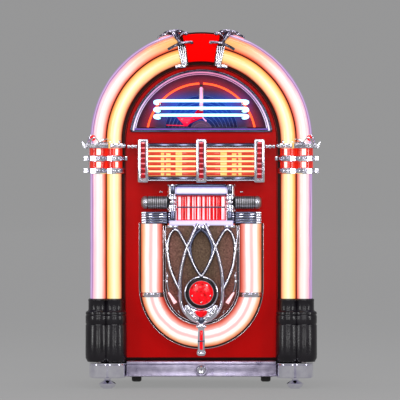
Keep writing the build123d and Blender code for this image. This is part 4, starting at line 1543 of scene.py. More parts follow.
class JUKEBOX_OT_side_trim(JukeboxPiece, bpy.types.Operator):
    """Model the ribbed bars, the caps of the U tube, its outline and the studs"""

    bl_idname = "jukebox.side_trim"
    bl_label = "Rib bars and U caps"

    def build(self):
        self.rib_bars()
        self.caps()
        self.outline()
        studs = []
        for x in (-0.1655, -0.1585):
            studs.append(ball((x, PANEL_FRONT, 0.790), 0.0034, (1, 0.7, 1.2), 14))
        pair("panel_studs", studs, "chrome", FRONT_DOOR, "chrome")

    def rib_bars(self):
        start, ribs, pitch = 136.5, 9, 8.6
        profile = [(0, start), (24, start)]
        for rib in range(ribs):
            x = start + pitch * rib
            profile += [(22.0, x + 0.8), (25.8, x + 1.8), (25.8, x + pitch - 1.6), (22.0, x + pitch - 0.6)]
        end = start + pitch * ribs
        profile += [
            (19, end), (19, end + 3), (26, end + 4), (26, end + 13), (23, end + 21), (15, end + 27),
            (0, end + 28),
        ]
        bar_body = turned(in_mm(profile), (0, -0.258, 0.748), (-1, 0, 0), (0, 0, 1), 40)
        x = -(end + 12) / 1000
        star = [
            block(x - 0.009, x + 0.009, -0.2858, -0.282, 0.7463, 0.7497, 0.0008),
            block(x - 0.0017, x + 0.0017, -0.2858, -0.282, 0.739, 0.757, 0.0008),
        ]
        star += [spun(part, (x, -0.283, 0.748), 45) for part in star]
        gaps = []
        for rib in range(ribs + 1):
            near = start + pitch * rib
            ring = [(0, near - 1.0), (24.4, near - 1.0), (24.4, near + 1.2), (0, near + 1.2)]
            gaps.append(turned(in_mm(ring), (0, -0.258, 0.748), (-1, 0, 0), (0, 0, 1), 40))
        pair("rib_bar_castings", [bar_body], "rib_grey", FRONT_DOOR, "chrome", ("rib_bars",), smooth=25)
        pair("rib_bar_gaps", gaps, "rubber_black", FRONT_DOOR, "chrome", smooth=25)
        pair("rib_bar_stars", star, "chrome", FRONT_DOOR, "chrome", smooth=25)

    def caps(self):
        floor, top = U_TOP, high("u_tube_trim")[2]
        ribs, bright, dark = 5, [], []
        step = (top - floor) / ribs
        for rib in range(ribs):
            z0 = floor + step * rib
            dark.append(
                block(-0.2215, -0.1368, -0.2985, PANEL_FRONT, z0 + 0.0007, z0 + step - 0.0007, 0.0034, 3)
            )
            bright.append(
                block(-0.241, -0.220, -0.2995, PANEL_FRONT, z0 + 0.0003, z0 + step - 0.0003, 0.0040, 3)
            )
        core = block(-0.238, -0.138, -0.294, PANEL_FRONT, floor, top, 0.003)
        pair("u_tube_cap_ribs", dark, "dark_chrome", FRONT_DOOR, "chrome")
        bright.append(core)
        pair("u_tube_cap_ends", bright, "chrome", FRONT_DOOR, "chrome", ("u_tube_trim",))

    def outline(self):
        """A bright bead that follows the U tube on the panel, and a dark rod beside the tube that stands in
        for the shade in the gap between tube and panel.
        """
        for name, gap, radius, material in (
            ("u_outline_gap_shade", 0.0042, 0.0034, "rubber_black"), ("u_outline_bead", 0.0085, 0.0016, "chrome"),
        ):
            far = U_X + U_R + gap
            bend = hoop((0, PANEL_FRONT - 0.001, U_Z), far, radius, 180, 180, 72, 12)
            leg = bar(
                (-far, PANEL_FRONT - 0.001, U_Z), (-far, PANEL_FRONT - 0.001, U_TOP + 0.002), radius,
                sides=12,
            )
            piece(name, [bend, leg, *mirrored(leg)], material, FRONT_DOOR, "chrome")


class JUKEBOX_OT_grille(JukeboxPiece, bpy.types.Operator):
    """Model the speaker cloth, its rims and the cast lattice in front of it"""

    bl_idname = "jukebox.grille"
    bl_label = "Grille"

    # Centre lines of the left half of the casting, as X and Z in millimetres.
    lens = ((0, 640), (-18, 630), (-36, 602), (-47, 568), (-44, 532), (-30, 497), (-14, 470), (0, 456))
    crossing = (
        (-14, 662), (-20, 650), (-42, 600), (-57, 570), (-68, 535), (-78, 495), (-85, 450), (-87, 400),
        (-85, 372),
    )
    side_lens = (
        (-57, 570), (-74, 604), (-90, 634), (-106, 643), (-122, 628), (-133, 595), (-136, 556),
        (-131, 508), (-118, 462), (-100, 422), (-88, 400),
    )
    inner_leg = ((-57, 570), (-44, 530), (-28, 492), (-10, 464), (0, 452))
    lower_leg = ((-85, 380), (-84, 350), (-76, 324), (-60, 298), (-34, 276), (0, 265))
    outermost = ((-148, 636), (-143, 590), (-138, 558), (-134, 520), (-126, 480), (-110, 440), (-92, 408))
    harp = ((-137, 470), (-138, 440), (-136, 418), (-130, 390), (-120, 366), (-108, 348))

    def build(self):
        self.cloth()
        self.rims()
        self.lattice()
        self.darts()

    def cloth(self):
        half = high("grille_cloth")[0]
        front, top = low("grille_cloth")[1], high("grille_cloth")[2]
        steps = 32
        bend = [on_arch(half, 180 + 180 * step / steps, 0, U_Z) for step in range(steps + 1)]
        outline = [(point.x, point.z) for point in bend] + [(half, top), (-half, top)]
        sheet = plate(outline, front, front + 0.0012)
        sheet = piece(
            "grille_cloth_panel", [sheet], "speaker_cloth", FRONT_DOOR, "grille_cloth", ("grille_cloth",)
        )

    def rims(self):
        depth = low("lattice_grille")[1] + 0.004
        top = high("grille_cloth")[2]
        for name, ring, radius, material in (
            ("grille_inner_rim", 0.1515, 0.0022, "chrome"),
            ("grille_dark_rim", 0.1475, 0.0030, "maroon_edge"),
            ("grille_outer_rim", 0.1435, 0.0016, "chrome"),
        ):
            bend = hoop((0, depth, U_Z), ring, radius, 180, 180, 64, 12)
            leg = bar((-ring, depth, U_Z), (-ring, depth, top), radius, sides=12)
            piece(name, [bend, leg, *mirrored(leg)], material, FRONT_DOOR, "chrome")

    def bowed(self, points, lift=0.0):
        """The points on a surface that bulges forwards in the middle of the grille."""
        front = low("lattice_grille")[1]
        placed = []
        for x, z in in_mm(points):
            off = math.hypot(x / 0.15, (z - 0.45) / 0.26)
            bulge = 0.018 * max(0.0, 1.0 - off * off)
            placed.append(Vector((x, front - 0.004 - lift - bulge, z)))
        return placed

    def lattice(self):
        radius = sizes().lattice
        rods = []
        for points, thick in (
            (self.crossing, 1.0), (self.side_lens, 0.95), (self.inner_leg, 0.8), (self.lower_leg, 1.15),
            (self.outermost, 0.75),
        ):
            rods.append(wire(self.bowed(points), radius * thick, sides=4))
        for points in (self.lens,):
            rods.append(wire(self.bowed(points, -0.004), radius * 0.7, sides=4))
        x, z = self.crossing[3]
        rods.append(ball(self.bowed(((x, z),))[0], radius * 1.25, (1, 0.8, 1.2), 16))
        head = plate(in_mm(((-30, 648), (-14, 640), (0, 637), (0, 656), (-36, 656))), -0.296, -0.283, 0.002)
        rods.append(head)
        pair("lattice_casting", rods, "chrome", FRONT_DOOR, "chrome",
            ("lattice_grille",), smooth=50,
        )
        # The dark rods set behind the lens and side bars, wider than them, stand in for the shade along their
        # edges: painted shade. The lilac rods behind the crossing and lower legs widen those bars.
        for name, lines, swell, material in (
            ("lattice_edge_shade", (self.side_lens, self.lens, self.inner_leg), 1.65, "dark_chrome"),
            ("lattice_webs", (self.crossing, self.lower_leg), 1.75, "soft_chrome"),
        ):
            shade = []
            for points in lines:
                set_back = [point + Vector((0, 0.0068, 0)) for point in self.bowed(points)]
                shade.append(wire(set_back, radius * swell, sides=3))
            pair(name, shade, material, FRONT_DOOR, "chrome", smooth=50)

    def darts(self):
        """The harp bars beside the medallion with their clips, darts and ticks."""
        bars = [wire(self.bowed(self.harp), 0.0026)]
        clip = self.bowed(((-137, 431),))[0]
        bars.append(
            block(
                clip.x - 0.007, clip.x + 0.004, clip.y - 0.003, clip.y + 0.006, clip.z - 0.006,
                clip.z + 0.006, 0.002,
            )
        )
        pin = self.bowed(((-136, 452),))[0]
        bars.append(ball(pin, 0.0055, (0.8, 0.8, 1.9), 14))
        for points in (((-93, 316), (-86, 305)), ((-98, 374), (-86, 374))):
            start, end = self.bowed(points)
            bars.append(bar(start, end, 0.0016, sides=10))
        pair("harp_bars", bars, "chrome", FRONT_DOOR, "chrome")
        dots = [ball(self.bowed(((-132, 553),), 0.003)[0], 0.0042, sides=14)]
        pair("lattice_dots", dots, "rubber_black", FRONT_DOOR, "chrome")
        start, end = self.bowed(((-131, 388), (-103, 344)))
        dart = [bar(start, end, 0.0036, 0.0082, 18, 0.001)]
        pair("harp_darts", dart, "key_white", FRONT_DOOR, "key_white")


class JUKEBOX_OT_medallion(JukeboxPiece, bpy.types.Operator):
    """Model the medallion, the shield under it and the drop bar"""

    bl_idname = "jukebox.medallion"
    bl_label = "Medallion and drop bar"

    def build(self):
        self.medallion()
        self.shield()
        self.drop_bar()

    def turned_front(self, profile, steps=64):
        return turned(in_mm(profile), (0, 0, MEDAL_Z), (0, -1, 0), steps=steps)

    def medallion(self):
        rim = ((62, 294), (69, 294), (69.5, 298), (69, 305), (66, 309), (63, 310), (62, 304), (62, 294))
        parts = [self.turned_front(rim)]
        for degrees in (126, 150, 30, 54):
            slot = hoop((0, -0.3085, MEDAL_Z), 0.066, 0.0016, degrees - 9, 18, 12, 10)
            parts.append(slot)
        piece("medallion_rim", parts, "chrome", FRONT_DOOR, "chrome", ("medallion_ring",))
        black = ((49.8, 294), (62, 294), (62, 309), (60, 313.5), (54, 315), (50.4, 312), (49.8, 294))
        piece("medallion_black_ring", [self.turned_front(black)], "black_gloss", FRONT_DOOR, "chrome")
        lens = ((0, 296), (49.2, 296), (49.2, 311), (46.5, 314), (39, 316.5), (22, 319.2), (0, 319.8))
        piece(
            "medallion_lens_cut", [self.turned_front(lens, 20)], "gem_red", FRONT_DOOR, "gem_red",
            ("medallion_lens",), smooth=8,
        )
        line = hoop((0, -0.3125, MEDAL_Z), 0.0488, 0.0012, sides=10)
        screws = [line]
        for degrees in (270, 342, 54, 126, 198):
            head = on_arch(0.038, degrees, -0.3165, MEDAL_Z)
            screws.append(ball(head, 0.0036, (1, 0.5, 1), 12))
        piece("medallion_screws", screws, "chrome", FRONT_DOOR, "chrome")

    def shield(self):
        outline = [(-0.066, 0.338)]
        steps = 16
        for step in range(steps + 1):
            angle = math.radians(196 + 148 * step / steps)
            outline.append((0.068 * math.cos(angle), 0.316 + 0.048 * math.sin(angle)))
        outline.append((0.066, 0.338))
        for step in range(11):
            angle = math.radians(317 - 94 * step / 10)
            outline.append((0.0705 * math.cos(angle), MEDAL_Z + 0.0705 * math.sin(angle)))
        body = plate(outline, -0.311, -0.294, 0.004)
        scrolls = []
        for points in (
            ((-62, 334), (-52, 322), (-40, 312), (-30, 298), (-14, 284), (0, 279)),
            ((-58, 318), (-48, 302), (-34, 290), (-18, 279)),
            ((-44, 322), (-36, 318), (-30, 308), (-27, 296)),
        ):
            scrolls.append(wire([Vector((x, -0.3115, z)) for x, z in in_mm(points)], 0.0030))
        leaves = [
            ball((x, -0.311, z), 0.0085, (1.2, 0.45, 0.8), 14)
            for x, z in ((-0.050, 0.321), (-0.041, 0.303), (-0.028, 0.289))
        ]
        parts = scrolls + leaves
        piece(
            "shield_casting", [body, *parts, *mirrored(*parts)], "chrome", FRONT_DOOR, "chrome",
            ("shield",), smooth=50,
        )
        gem = [(-0.025, 0.3155), (0.025, 0.3155)]
        gem += [
            (0.025 * math.cos(a), 0.3155 + 0.0265 * math.sin(a))
            for a in [-math.pi * step / 12 for step in range(1, 12)]
        ]
        piece("shield_gem", [plate(gem, -0.3165, -0.309, 0.0025)], "gem_red", FRONT_DOOR, "gem_red")

    def drop_bar(self):
        outline = (
            (-10, 262), (-13, 252), (-15, 246), (-12, 240), (-13, 228), (-15, 190), (-14, 160), (-18, 152),
            (-18.5, 142), (-12, 134), (12, 134), (18.5, 142), (18, 152), (14, 160), (15, 190), (13, 228),
            (12, 240), (15, 246), (13, 252), (10, 262),
        )
        body = plate(in_mm(outline), -0.314, -0.2965, 0.003)
        bow = [ball((x, -0.312, 0.251), 0.0085, (1.25, 0.6, 0.8), 16) for x in (-0.0105, 0.0105)]
        knot = [ball((0, -0.3125, 0.143), 0.009, (1.4, 0.5, 0.8), 18)]
        knot += [ball((x, -0.312, 0.146), 0.005, (1, 0.6, 1), 12) for x in (-0.012, 0.012)]
        piece(
            "drop_bar_casting", [body, *bow, *knot], "chrome", FRONT_DOOR, "chrome", ("drop_bar",),
            smooth=40,
        )
        inset = block(-0.0065, 0.0065, -0.3160, -0.310, 0.158, 0.236, 0.003, 3)
        piece("drop_bar_inset", [inset], "gem_red", FRONT_DOOR, "gem_red", smooth=15)
        band = block(-0.0132, 0.0132, -0.3172, -0.308, 0.190, 0.196, 0.0015)
        pommel = ball((0, -0.3095, 0.278), 0.013, (1.1, 0.5, 1.1), 20)
        piece("drop_bar_band", [band, pommel], "dark_chrome", FRONT_DOOR, "chrome")


class JUKEBOX_OT_window(JukeboxPiece, bpy.types.Operator):
    """Model the window: bezel, liner, neon tubes, record and tonearm"""

    bl_idname = "jukebox.window"
    bl_label = "Window"

    def build(self):
        self.floor = low("dome_glass")[2] - 0.002
        self.start = math.degrees(math.asin((self.floor + 0.008 - ARCH_Z) / DOME_R))
        self.bezel()
        self.liner()
        self.neon()
        self.record()
        self.tonearm()

    def bow(self, ring, radius, depth, sides=14):
        return hoop((0, depth, ARCH_Z), ring, radius, self.start, 180 - 2 * self.start, 96, sides)

    def bezel(self):
        front = low("dome_bezel")[1]
        inner = DOME_R - 0.004
        corner = 0.018
        chrome_line = [self.bow(inner, 0.0040, front + 0.006)]
        foot = self.floor + 0.003
        edge = inner * math.cos(math.radians(self.start))
        chrome_line.append(
            bar(
                (-edge + corner * 0.3, front + 0.006, foot), (edge - corner * 0.3, front + 0.006, foot),
                0.0040, sides=14,
            )
        )
        turn = wire(
            [
                (-edge, front + 0.006, foot + 0.012), (-edge - 0.001, front + 0.006, foot + 0.004),
                (-edge + 0.010, front + 0.006, foot),
            ],
            0.0040, sides=4,
        )
        chrome_line += [turn, *mirrored(turn)]
        piece("window_bead", chrome_line, "dark_chrome", FRONT_DOOR, "chrome", ("dome_bezel",))
        # The pale frame lines are chrome, painted as glowing lilac: a painted highlight.
        pale = [
            self.bow(inner - 0.009, 0.0048, front + 0.007), self.bow(inner - 0.0165, 0.0020, front + 0.006)
        ]
        piece("window_pale_frame", pale, "frame_lilac", FRONT_DOOR, "chrome")
        dark = [
            self.bow(inner - 0.0045, 0.0014, front + 0.002), self.bow(inner - 0.0140, 0.0014, front + 0.003)
        ]
        piece("window_dark_lines", dark, "dark_chrome", FRONT_DOOR, "chrome")
        reach = edge - 0.014
        sill = [
            (-0.236, foot + 0.003), (-0.246, foot + 0.003), (-0.2465, foot + 0.010), (-0.240, foot + 0.016),
            (-0.228, foot + 0.016),
        ]
        piece("window_sill", [prism(sill, -reach, reach, 0.001)], "dark_chrome", FRONT_DOOR, "chrome")
        # The lip along the sill is chrome, painted as glowing violet: a painted highlight.
        lip = [bar((-reach, -0.2465, foot + 0.0085), (reach, -0.2465, foot + 0.0085), 0.0017, sides=12)]
        piece("window_sill_highlight", lip, "neon_violet", FRONT_DOOR, "chrome")
        field_line = [hoop((0, PANEL_FRONT - 0.0006, ARCH_Z), PANEL_HALF - 0.003, 0.0017, 0, 180, 96, 10)]
        leg = bar(
            (-PANEL_HALF + 0.003, PANEL_FRONT - 0.0006, low("door_panel")[2] + 0.004),
            (-PANEL_HALF + 0.003, PANEL_FRONT - 0.0006, ARCH_Z), 0.0012, sides=10,
        )
        piece("panel_edge_line", [*field_line, leg, *mirrored(leg)], "maroon_edge", FRONT_DOOR, "red_lacquer")

    def liner(self):
        steps, ring = 48, DOME_R - 0.004
        start = math.degrees(math.asin((self.floor - ARCH_Z) / ring))
        outline = [
            (ring * math.cos(angle), ARCH_Z + ring * math.sin(angle))
            for angle in [math.radians(start + (180 - 2 * start) * step / steps) for step in range(steps + 1)]
        ]
        back = plate(outline, -0.137, -0.1345)
        piece("window_liner", [back], "recess_dark", CABINET, "black_metal")
        tunnel = plate(outline, -0.2215, -0.1625)
        edit(tunnel, "FACE")
        bpy.ops.mesh.select_all(action="DESELECT")
        done()
        for side in tunnel.data.polygons:
            side.select = abs(side.normal.y) > 0.9
        pick(tunnel)
        bpy.ops.object.mode_set(mode="EDIT")
        bpy.ops.mesh.delete(type="FACE")
        bpy.ops.mesh.select_all(action="SELECT")
        done()
        modify(tunnel, "SOLIDIFY", thickness=0.002, offset=-1)
        piece("window_reveal", [tunnel], "recess_dark", FRONT_DOOR, "black_metal")
        pane = plate(outline, PANEL_FRONT + 0.0005, PANEL_FRONT + 0.0035, 0.0)
        piece("window_pane", [pane], "window_glass", FRONT_DOOR, "window_glass", ("dome_glass",))

    def neon(self):
        radius = sizes().neon
        depth = (low("neon_tubes")[1] + high("neon_tubes")[1]) / 2 - 0.006
        bars, caps = [], []
        for z in (1.158, 1.128, 1.100):
            half = []
            for x, dy, dz in (
                (0, 0, 0), (-90, 0, 0), (-168, 0, 0), (-184, 0, -1), (-190, 0, -6), (-185, 4, -11),
                (-176, 10, -12), (-168, 18, -12),
            ):
                half.append(Vector((x / 1000, depth + dy / 1000, z + dz / 1000)))
            left = wire(half, radius, sides=4)
            bars += [left, *mirrored(left)]
            cap = bar(
                (-0.172, depth + 0.013, z - 0.012), (-0.166, depth + 0.032, z - 0.012), radius * 1.15,
                sides=14,
            )
            caps += [cap, *mirrored(cap)]
        piece("neon_bars", bars, "neon_blue", FRONT_DOOR, "neon_glass", ("neon_tubes",))
        arc = hoop((0, depth + 0.012, 1.008), 0.220, radius * 0.8, 8, 80, 56, 14)
        pair("neon_arc", [arc], "neon_orange", FRONT_DOOR, "neon_glass")
        stem = [bar((0, depth + 0.008, 1.138), (0, depth + 0.008, 1.214), radius * 0.85, sides=16)]
        stem.append(
            wire(in_mm(((6, -168, 1091), (10, -170, 1085), (17, -170, 1078), (21, -170, 1076))), 0.0022)
        )
        piece("neon_stem", stem, "neon_pink", FRONT_DOOR, "neon_glass")
        caps += [bar((0, depth + 0.008, 1.214), (0, depth + 0.008, 1.224), radius * 1.1, sides=14)]
        foot = bar((-0.218, depth + 0.012, 1.034), (-0.218, depth + 0.012, 1.042), radius * 1.2, sides=14)
        caps += [foot, *mirrored(foot)]
        piece("neon_electrodes", caps, "rubber_black", FRONT_DOOR, "rubber_black")

    def record(self):
        radius = high("record")[0]
        face = low("record")[1] + 0.0055
        disc = turned(
            in_mm(
                ((0, 0), (radius * 1000 - 0.6, 0), (radius * 1000, 1.0), (radius * 1000 - 0.6, 2.0), (0, 2.0))
            ),
            (0, face + 0.002, RECORD_Z), (0, -1, 0), steps=96,
        )
        table = turned(
            in_mm(((0, -6), (58, -6), (60, -4), (60, 0.2), (0, 0.2))), (0, face + 0.002, RECORD_Z),
            (0, -1, 0),
        )
        piece("record_disc", [disc], "vinyl", "turntable", "vinyl", ("record",))
        piece("record_table", [table], "rubber_black", "turntable", "rubber_black")
        label = turned(
            in_mm(((0, 1.8), (46.6, 1.8), (47, 2.4), (0, 2.5))), (0, face + 0.002, RECORD_Z), (0, -1, 0)
        )
        piece("record_label", [label], "record_label", "turntable", "card_stock")
        clamp = turned(
            in_mm(((0, 2), (9, 2), (9, 4), (6.5, 6.2), (0, 6.6))), (0, face + 0.002, RECORD_Z), (0, -1, 0)
        )
        piece("record_clamp", [clamp], "chrome", "turntable", "chrome")

    def tonearm(self):
        hub_z = 1.130
        face = low("tonearm")[1]
        head = plate(
            in_mm(
                (
                    (-99, 1092), (-34, 1090), (4, 1092), (7, 1124), (-7, 1130), (-24, 1094), (-50, 1062),
                    (-57, 1055), (-66, 1056),
                )
            ),
            face + 0.003, face + 0.010, 0.0018,
        )
        brow = plate(
            in_mm(((-99, 1092), (5, 1092), (3, 1086), (-94, 1087))), face + 0.0026, face + 0.0046, 0.0008
        )
        arm = bar((-0.140, face + 0.007, 1.0600), (-0.060, face + 0.007, 1.0575), 0.0016, 0.0026, 12)
        pin = bar((-0.140, face + 0.007, 1.0605), (-0.140, face + 0.0135, 1.0605), 0.0012, 0.0005, 10)
        hub = turned(
            in_mm(((3.2, 0), (9.8, 0), (9.8, 9), (8, 10.8), (3.2, 10.8), (3.2, 0))),
            (0, face + 0.011, hub_z), (0, -1, 0), steps=32,
        )
        piece(
            "tonearm_casting", [head, brow, arm, pin, hub], "tonearm_red", "tonearm", "tonearm_red",
            ("tonearm",),
        )
        rivets = [
            bar((x, face + 0.0046, z), (x, face + 0.0025, z), 0.0022, sides=14, round_off=0.0004)
            for x, z in ((-0.058, 1.070), (-0.078, 1.0835), (-0.030, 1.083))
        ]
        piece("tonearm_rivets", rivets, "steel", "tonearm", "mechanism_steel")


class JUKEBOX_OT_crown(JukeboxPiece, bpy.types.Operator):
    """Model the keystone and the two claws that clasp the ends of the arch tubes"""

    bl_idname = "jukebox.crown"
    bl_label = "Keystone and claws"

    def build(self):
        self.keystone()
        self.claws()

    def keystone(self):
        points = []
        for radius, start, end in ((0.322, 99.4, 80.6), (0.4305, 80.0, 100.0)):
            for step in range(9):
                point = on_arch(radius, start + (end - start) * step / 8, 0)
                points.append((point.x, point.z))
        front = low("keystone")[1]
        body = plate(points, front + 0.002, PANEL_FRONT + 0.012, 0.004)
        piece("keystone_shell", [body], "keystone_red", FRONT_DOOR, "keystone_red", ("keystone",))

    def claws(self):
        def rod(points, radius, thin=0.4, sides=4):
            placed = [Vector(point) for point in in_mm(points)]
            return wire(placed, radius, taper=lambda share: 1.0 - thin * share, sides=sides)

        dark, bright = [], []
        # Three lobes that fan out over the outer tube.
        for points, radius in (
            (((-66, -262, 1424), (-86, -288, 1438), (-112, -292, 1440), (-124, -288, 1430)), 0.0085),
            (((-88, -270, 1430), (-112, -290, 1437), (-138, -292, 1434), (-150, -286, 1424)), 0.0080),
            (((-108, -270, 1424), (-134, -288, 1428), (-160, -290, 1420), (-173, -282, 1408)), 0.0070),
            (((-60, -280, 1424), (-70, -294, 1430), (-80, -296, 1424), (-86, -292, 1414)), 0.0062),
        ):
            dark.append(rod(points, radius, 0.45))
        # The slanted saddle, the horned crossbar and its curled tip.
        dark.append(
            rod(((-112, -296, 1428), (-104, -301, 1414), (-92, -303, 1400), (-82, -300, 1388)), 0.0095, 0.25)
        )
        dark.append(
            rod(
                (
                    (-132, -296, 1361), (-112, -303, 1374), (-88, -305, 1384), (-60, -303, 1391),
                    (-36, -297, 1390),
                ),
                0.0062, 0.1,
            )
        )
        dark.append(
            rod(((-84, -305, 1386), (-104, -304, 1376), (-122, -298, 1366), (-134, -292, 1360)), 0.0075, 0.85)
        )
        dark.append(ball((-0.061, -0.288, 1.4255), 0.0085, (1.2, 0.8, 1), 16))
        dark.append(ball((-0.0385, -0.297, 1.388), 0.0068, (1.3, 0.8, 0.9), 14))
        for shift in range(4):
            x = shift * 8.6
            route = (
                (-92 + x, -299, 1374), (-87 + x * 0.9, -302, 1350), (-81 + x * 0.78, -302, 1322),
                (-76 + x * 0.66, -298, 1296),
            )
            bright.append(rod(route, 0.0026, -0.15))
        bright.append(block(-0.098, -0.062, -0.300, -0.286, 1.2885, 1.3015, 0.004, 3))
        bright.append(block(-0.104, -0.094, -0.297, -0.288, 1.2865, 1.298, 0.003, 3))
        pair("claw_castings", dark, "smoked_chrome", FRONT_DOOR, "chrome", ("claws",), smooth=50)
        pair("claw_ribs", bright, "chrome", FRONT_DOOR, "chrome", smooth=50)
        ends = []
        for ring, radius, depth in ((OUTER_X, OUTER_R + 0.0015, 1.6), (INNER_X, INNER_R + 0.0015, 1.6)):
            ends.append(hoop((0, TUBE_Y, ARCH_Z), ring, radius, 102.0, depth, 3, 32))
        pair("arch_tube_ends", ends, "dark_chrome", FRONT_DOOR, "chrome")
        bed = plate(in_mm(((-96, 1378), (-62, 1378), (-50, 1296), (-80, 1296))), -0.2975, -0.288, 0.002)
        pair("claw_rib_beds", [bed], "rubber_black", FRONT_DOOR, "chrome")
        # A rose band on the outer tube under the claws: painted red glow of the tube's light there.
        glow = hoop((0, TUBE_Y - 0.004, ARCH_Z), OUTER_X + 0.0215, 0.0105, 103.0, 9.5, 16, 24)
        pair("claw_glow_band", [glow], "glow_rose", FRONT_DOOR, "sleeve_red")


class JUKEBOX_OT_cabinet_details(JukeboxPiece, bpy.types.Operator):
    """Model screws, vents, handles, edging, wheels and the works behind the back"""

    bl_idname = "jukebox.cabinet_details"
    bl_label = "Cabinet details"

    def build(self):
        self.edging()
        self.rear()
        self.wheels()
        self.works()

    def edging(self):
        """Chrome strip round the cabinet's front edge and the seam along its top."""
        radius = high("cabinet_shell")[0]
        strips = []
        for depth in (low("cabinet_shell")[1] + 0.010, high("cabinet_shell")[1] - 0.010):
            strips.append(hoop((0, depth, ARCH_Z), radius - 0.001, 0.0032, 0, 180, 96, 10))
            leg = bar((-radius + 0.001, depth, 0.114), (-radius + 0.001, depth, ARCH_Z), 0.0032, sides=10)
            strips += [leg, *mirrored(leg)]
        piece("cabinet_edge_beads", strips, "chrome", CABINET, "chrome")
        grips = []
        for side in (-1, 1):
            x = side * (radius - 0.0015)
            cup = bar(
                (x - side * 0.002, 0.06, 0.78), (x + side * 0.0035, 0.06, 0.78), 0.040, sides=48,
                round_off=0.0015,
            )
            grips.append(cup)
        piece("side_badge_plates", grips, "steel", CABINET, "mechanism_steel")

    def rear(self):
        face = high("rear_door")[1]
        face_plate = face - 0.0005
        knob = turned(
            in_mm(((0, 0), (13, 0), (13, 4), (9, 7), (9, 12), (13, 15), (12, 18), (0, 18.6))),
            (0.285, face_plate - 0.002, 0.6), (0, 1, 0), steps=32,
        )
        piece("rear_door_knob", [knob], "black_metal", "rear_door", "black_metal")
        louvres = []
        for step in range(6):
            z = 0.7 + 0.04 * step
            hood = prism(
                [
                    (face - 0.006, z + 0.014), (face + 0.004, z + 0.012), (face + 0.0045, z + 0.002),
                    (face + 0.003, z + 0.002), (face + 0.002, z + 0.010), (face - 0.006, z + 0.0125),
                ],
                -0.178, 0.178, 0.0006,
            )
            louvres.append(hood)
        piece("rear_vent_hoods", louvres, "black_metal", "rear_door", "black_metal")
        screws = []
        back = high("cabinet_shell")[1] + 0.012
        places = [(x, z) for x in (-0.385, 0.385) for z in (0.14, 0.35, 0.6, 0.85)]
        places += [
            (0.35 * math.cos(math.radians(a)), ARCH_Z + 0.35 * math.sin(math.radians(a)))
            for a in (30, 60, 90, 120, 150)
        ]
        for x, z in places:
            screws.append(
                turned(
                    in_mm(((0, -1), (4.6, -1), (4.6, 0.6), (3, 2.0), (0, 2.2))), (x, back, z), (0, 1, 0),
                    steps=16,
                )
            )
        piece("back_screws", screws, "steel", CABINET, "mechanism_steel")
        inlet = low("inlet_panel"), high("inlet_panel")
        x0, x1, z0, z1 = inlet[0][0], inlet[1][0], inlet[0][2], inlet[1][2]
        flange = []
        for a0, a1, b0, b1 in (
            (x0 - 0.006, x1 + 0.006, z1, z1 + 0.006), (x0 - 0.006, x1 + 0.006, z0 - 0.006, z0),
            (x0 - 0.006, x0, z0, z1), (x1, x1 + 0.006, z0, z1),
        ):
            flange.append(block(a0, a1, back, back + 0.002, b0, b1, 0.0006))
        piece("inlet_flange", flange, "steel", CABINET, "mechanism_steel")

    def wheels(self):
        for side in ("left", "right"):
            node = f"roller_{side}"
            x = (low(node)[0] + high(node)[0]) / 2
            y = (low(node)[1] + high(node)[1]) / 2
            z = (low(node)[2] + high(node)[2]) / 2
            tyre = (
                (5.2, -20), (24, -20), (28, -17), (29.8, -12), (30, 0), (29.8, 12), (28, 17), (24, 20),
                (5.2, 20), (5.2, -20),
            )
            wheel = turned(in_mm(tyre), (x, y, z), (1, 0, 0), (0, 0, 1), 40)
            piece(f"{node}_tyre", [wheel], "rubber_black", node, "rubber_black", (node,))
            hub = turned(
                in_mm(
                    (
                        (5.3, -20.6), (15, -20.6), (17, -19.8), (17, 19.8), (15, 20.6), (5.3, 20.6),
                        (5.3, -20.6),
                    )
                ),
                (x, y, z), (1, 0, 0), (0, 0, 1), 32,
            )
            piece(f"{node}_hub", [hub], "steel", node, "mechanism_steel")

    def works(self):
        """Valves, their sockets and two cans on the amplifier."""
        top = high("amplifier")[2] - 0.040
        valves, caps = [], []
        x0 = low("amplifier")[0]
        for step in range(4):
            x = x0 + 0.05 + 0.052 * step
            bulb = turned(
                in_mm(((0, 40), (11, 40), (13, 48), (13, 82), (9, 94), (2.5, 99), (0, 101))),
                (x, 0.020, top), steps=24,
            )
            valves.append(bulb)
            caps.append(turned(in_mm(((0, 38), (14, 38), (14, 45), (0, 45))), (x, 0.020, top), steps=24))
        piece("amplifier_valves", valves, "valve_glass", CABINET, "neon_glass")
        piece("amplifier_sockets", caps, "rubber_black", CABINET, "rubber_black")
        can = [
            bar((x, 0.120, top + 0.038), (x, 0.120, top + 0.098), 0.017, sides=32, round_off=0.002)
            for x in (x0 + 0.06, x0 + 0.11)
        ]
        piece("amplifier_cans", can, "steel", CABINET, "mechanism_steel")


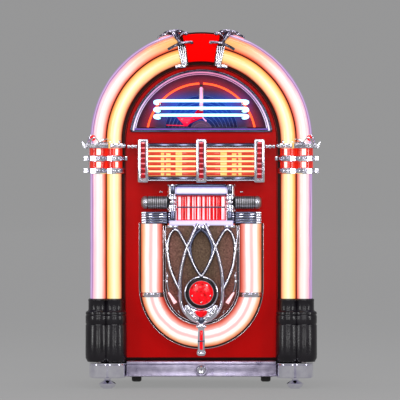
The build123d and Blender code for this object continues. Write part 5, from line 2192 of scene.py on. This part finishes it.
class JUKEBOX_OT_frame_finishes(JukeboxPiece, bpy.types.Operator):
    """Give every frame part its finish"""

    bl_idname = "jukebox.frame_finishes"
    bl_label = "Frame finishes"

    finishes = {
        "red_lacquer": ("door_panel",),
        "keystone_red": ("keystone",),
        "black_gloss": ("pedestals",),
        "red_wood": ("cabinet_shell",),
        "maroon_edge": ("door_frame",),
        "raw_board": ("back_frame", "grille_baffle", "rear_door"),
        "chrome": (
            "dome_bezel", "claws", "collars", "title_frame", "selector_housing", "rib_bars",
            "u_tube_trim", "lattice_grille", "medallion_ring", "shield", "drop_bar", "base_rail",
            "column_bases", "lock_cylinder", "foot_left", "foot_right",
        ),
        "sleeve_red": ("collar_sleeves",),
        "window_glass": ("dome_glass",),
        "title_card": ("title_cards",),
        "lamp_white": ("selector_lamp_bar",),
        "speaker_cloth": ("grille_cloth",),
        "gem_red": ("medallion_lens",),
        "rubber_black": ("roller_left", "roller_right", "woofer", "inlet_panel"),
        "neon_blue": ("neon_tubes",),
        "vinyl": ("stored_records", "record"),
        "tonearm_red": ("tonearm",),
        "black_metal": ("base_plinth", "amplifier", "power_transformer"),
        "steel": (
            "hinge_door_leaves", "hinge_cabinet_leaves", "roller_brackets", "mechanism_chassis",
            "record_magazine",
        ),
        "tube_pink": ("outer_tubes",),
        "tube_cream": ("inner_tubes",),
        "tube_peach": ("u_tube",),
        "core_white": ("tube_lamps",),
        "key_white": tuple(f"key_{number:02d}" for number in range(1, 11)),
    }

    def build(self):
        for material, nodes in self.finishes.items():
            for node in nodes:
                dress(node, material)


OPERATORS = (
    JUKEBOX_OT_stage,
    JUKEBOX_OT_frame_finishes,
    JUKEBOX_OT_light_tubes,
    JUKEBOX_OT_u_tube,
    JUKEBOX_OT_columns,
    JUKEBOX_OT_rail,
    JUKEBOX_OT_collars,
    JUKEBOX_OT_title_display,
    JUKEBOX_OT_selector,
    JUKEBOX_OT_side_trim,
    JUKEBOX_OT_grille,
    JUKEBOX_OT_medallion,
    JUKEBOX_OT_window,
    JUKEBOX_OT_crown,
    JUKEBOX_OT_cabinet_details,
)


class JUKEBOX_PT_panel(bpy.types.Panel):
    """Lists the pieces and the sizes"""

    bl_label = "Jukebox"
    bl_idname = "JUKEBOX_PT_panel"
    bl_space_type = "VIEW_3D"
    bl_region_type = "UI"
    bl_category = "Jukebox"

    def draw(self, context):
        layout = self.layout
        for operator in OPERATORS:
            layout.operator(operator.bl_idname)
        for group in (context.scene.jukebox_sizes, context.scene.jukebox_stage):
            for name in group.__annotations__:
                layout.prop(group, name)


CLASSES = (JukeboxStage, JukeboxSizes, *OPERATORS, JUKEBOX_PT_panel)


def register():
    for cls in CLASSES:
        bpy.utils.register_class(cls)
    bpy.types.Scene.jukebox_stage = bpy.props.PointerProperty(type=JukeboxStage)
    bpy.types.Scene.jukebox_sizes = bpy.props.PointerProperty(type=JukeboxSizes)


def unregister():
    del bpy.types.Scene.jukebox_sizes
    del bpy.types.Scene.jukebox_stage
    for cls in reversed(CLASSES):
        bpy.utils.unregister_class(cls)


def main():
    register()
    for operator in OPERATORS:
        group, name = operator.bl_idname.split(".")
        getattr(getattr(bpy.ops, group), name)()


if __name__ == "__main__":
    main()
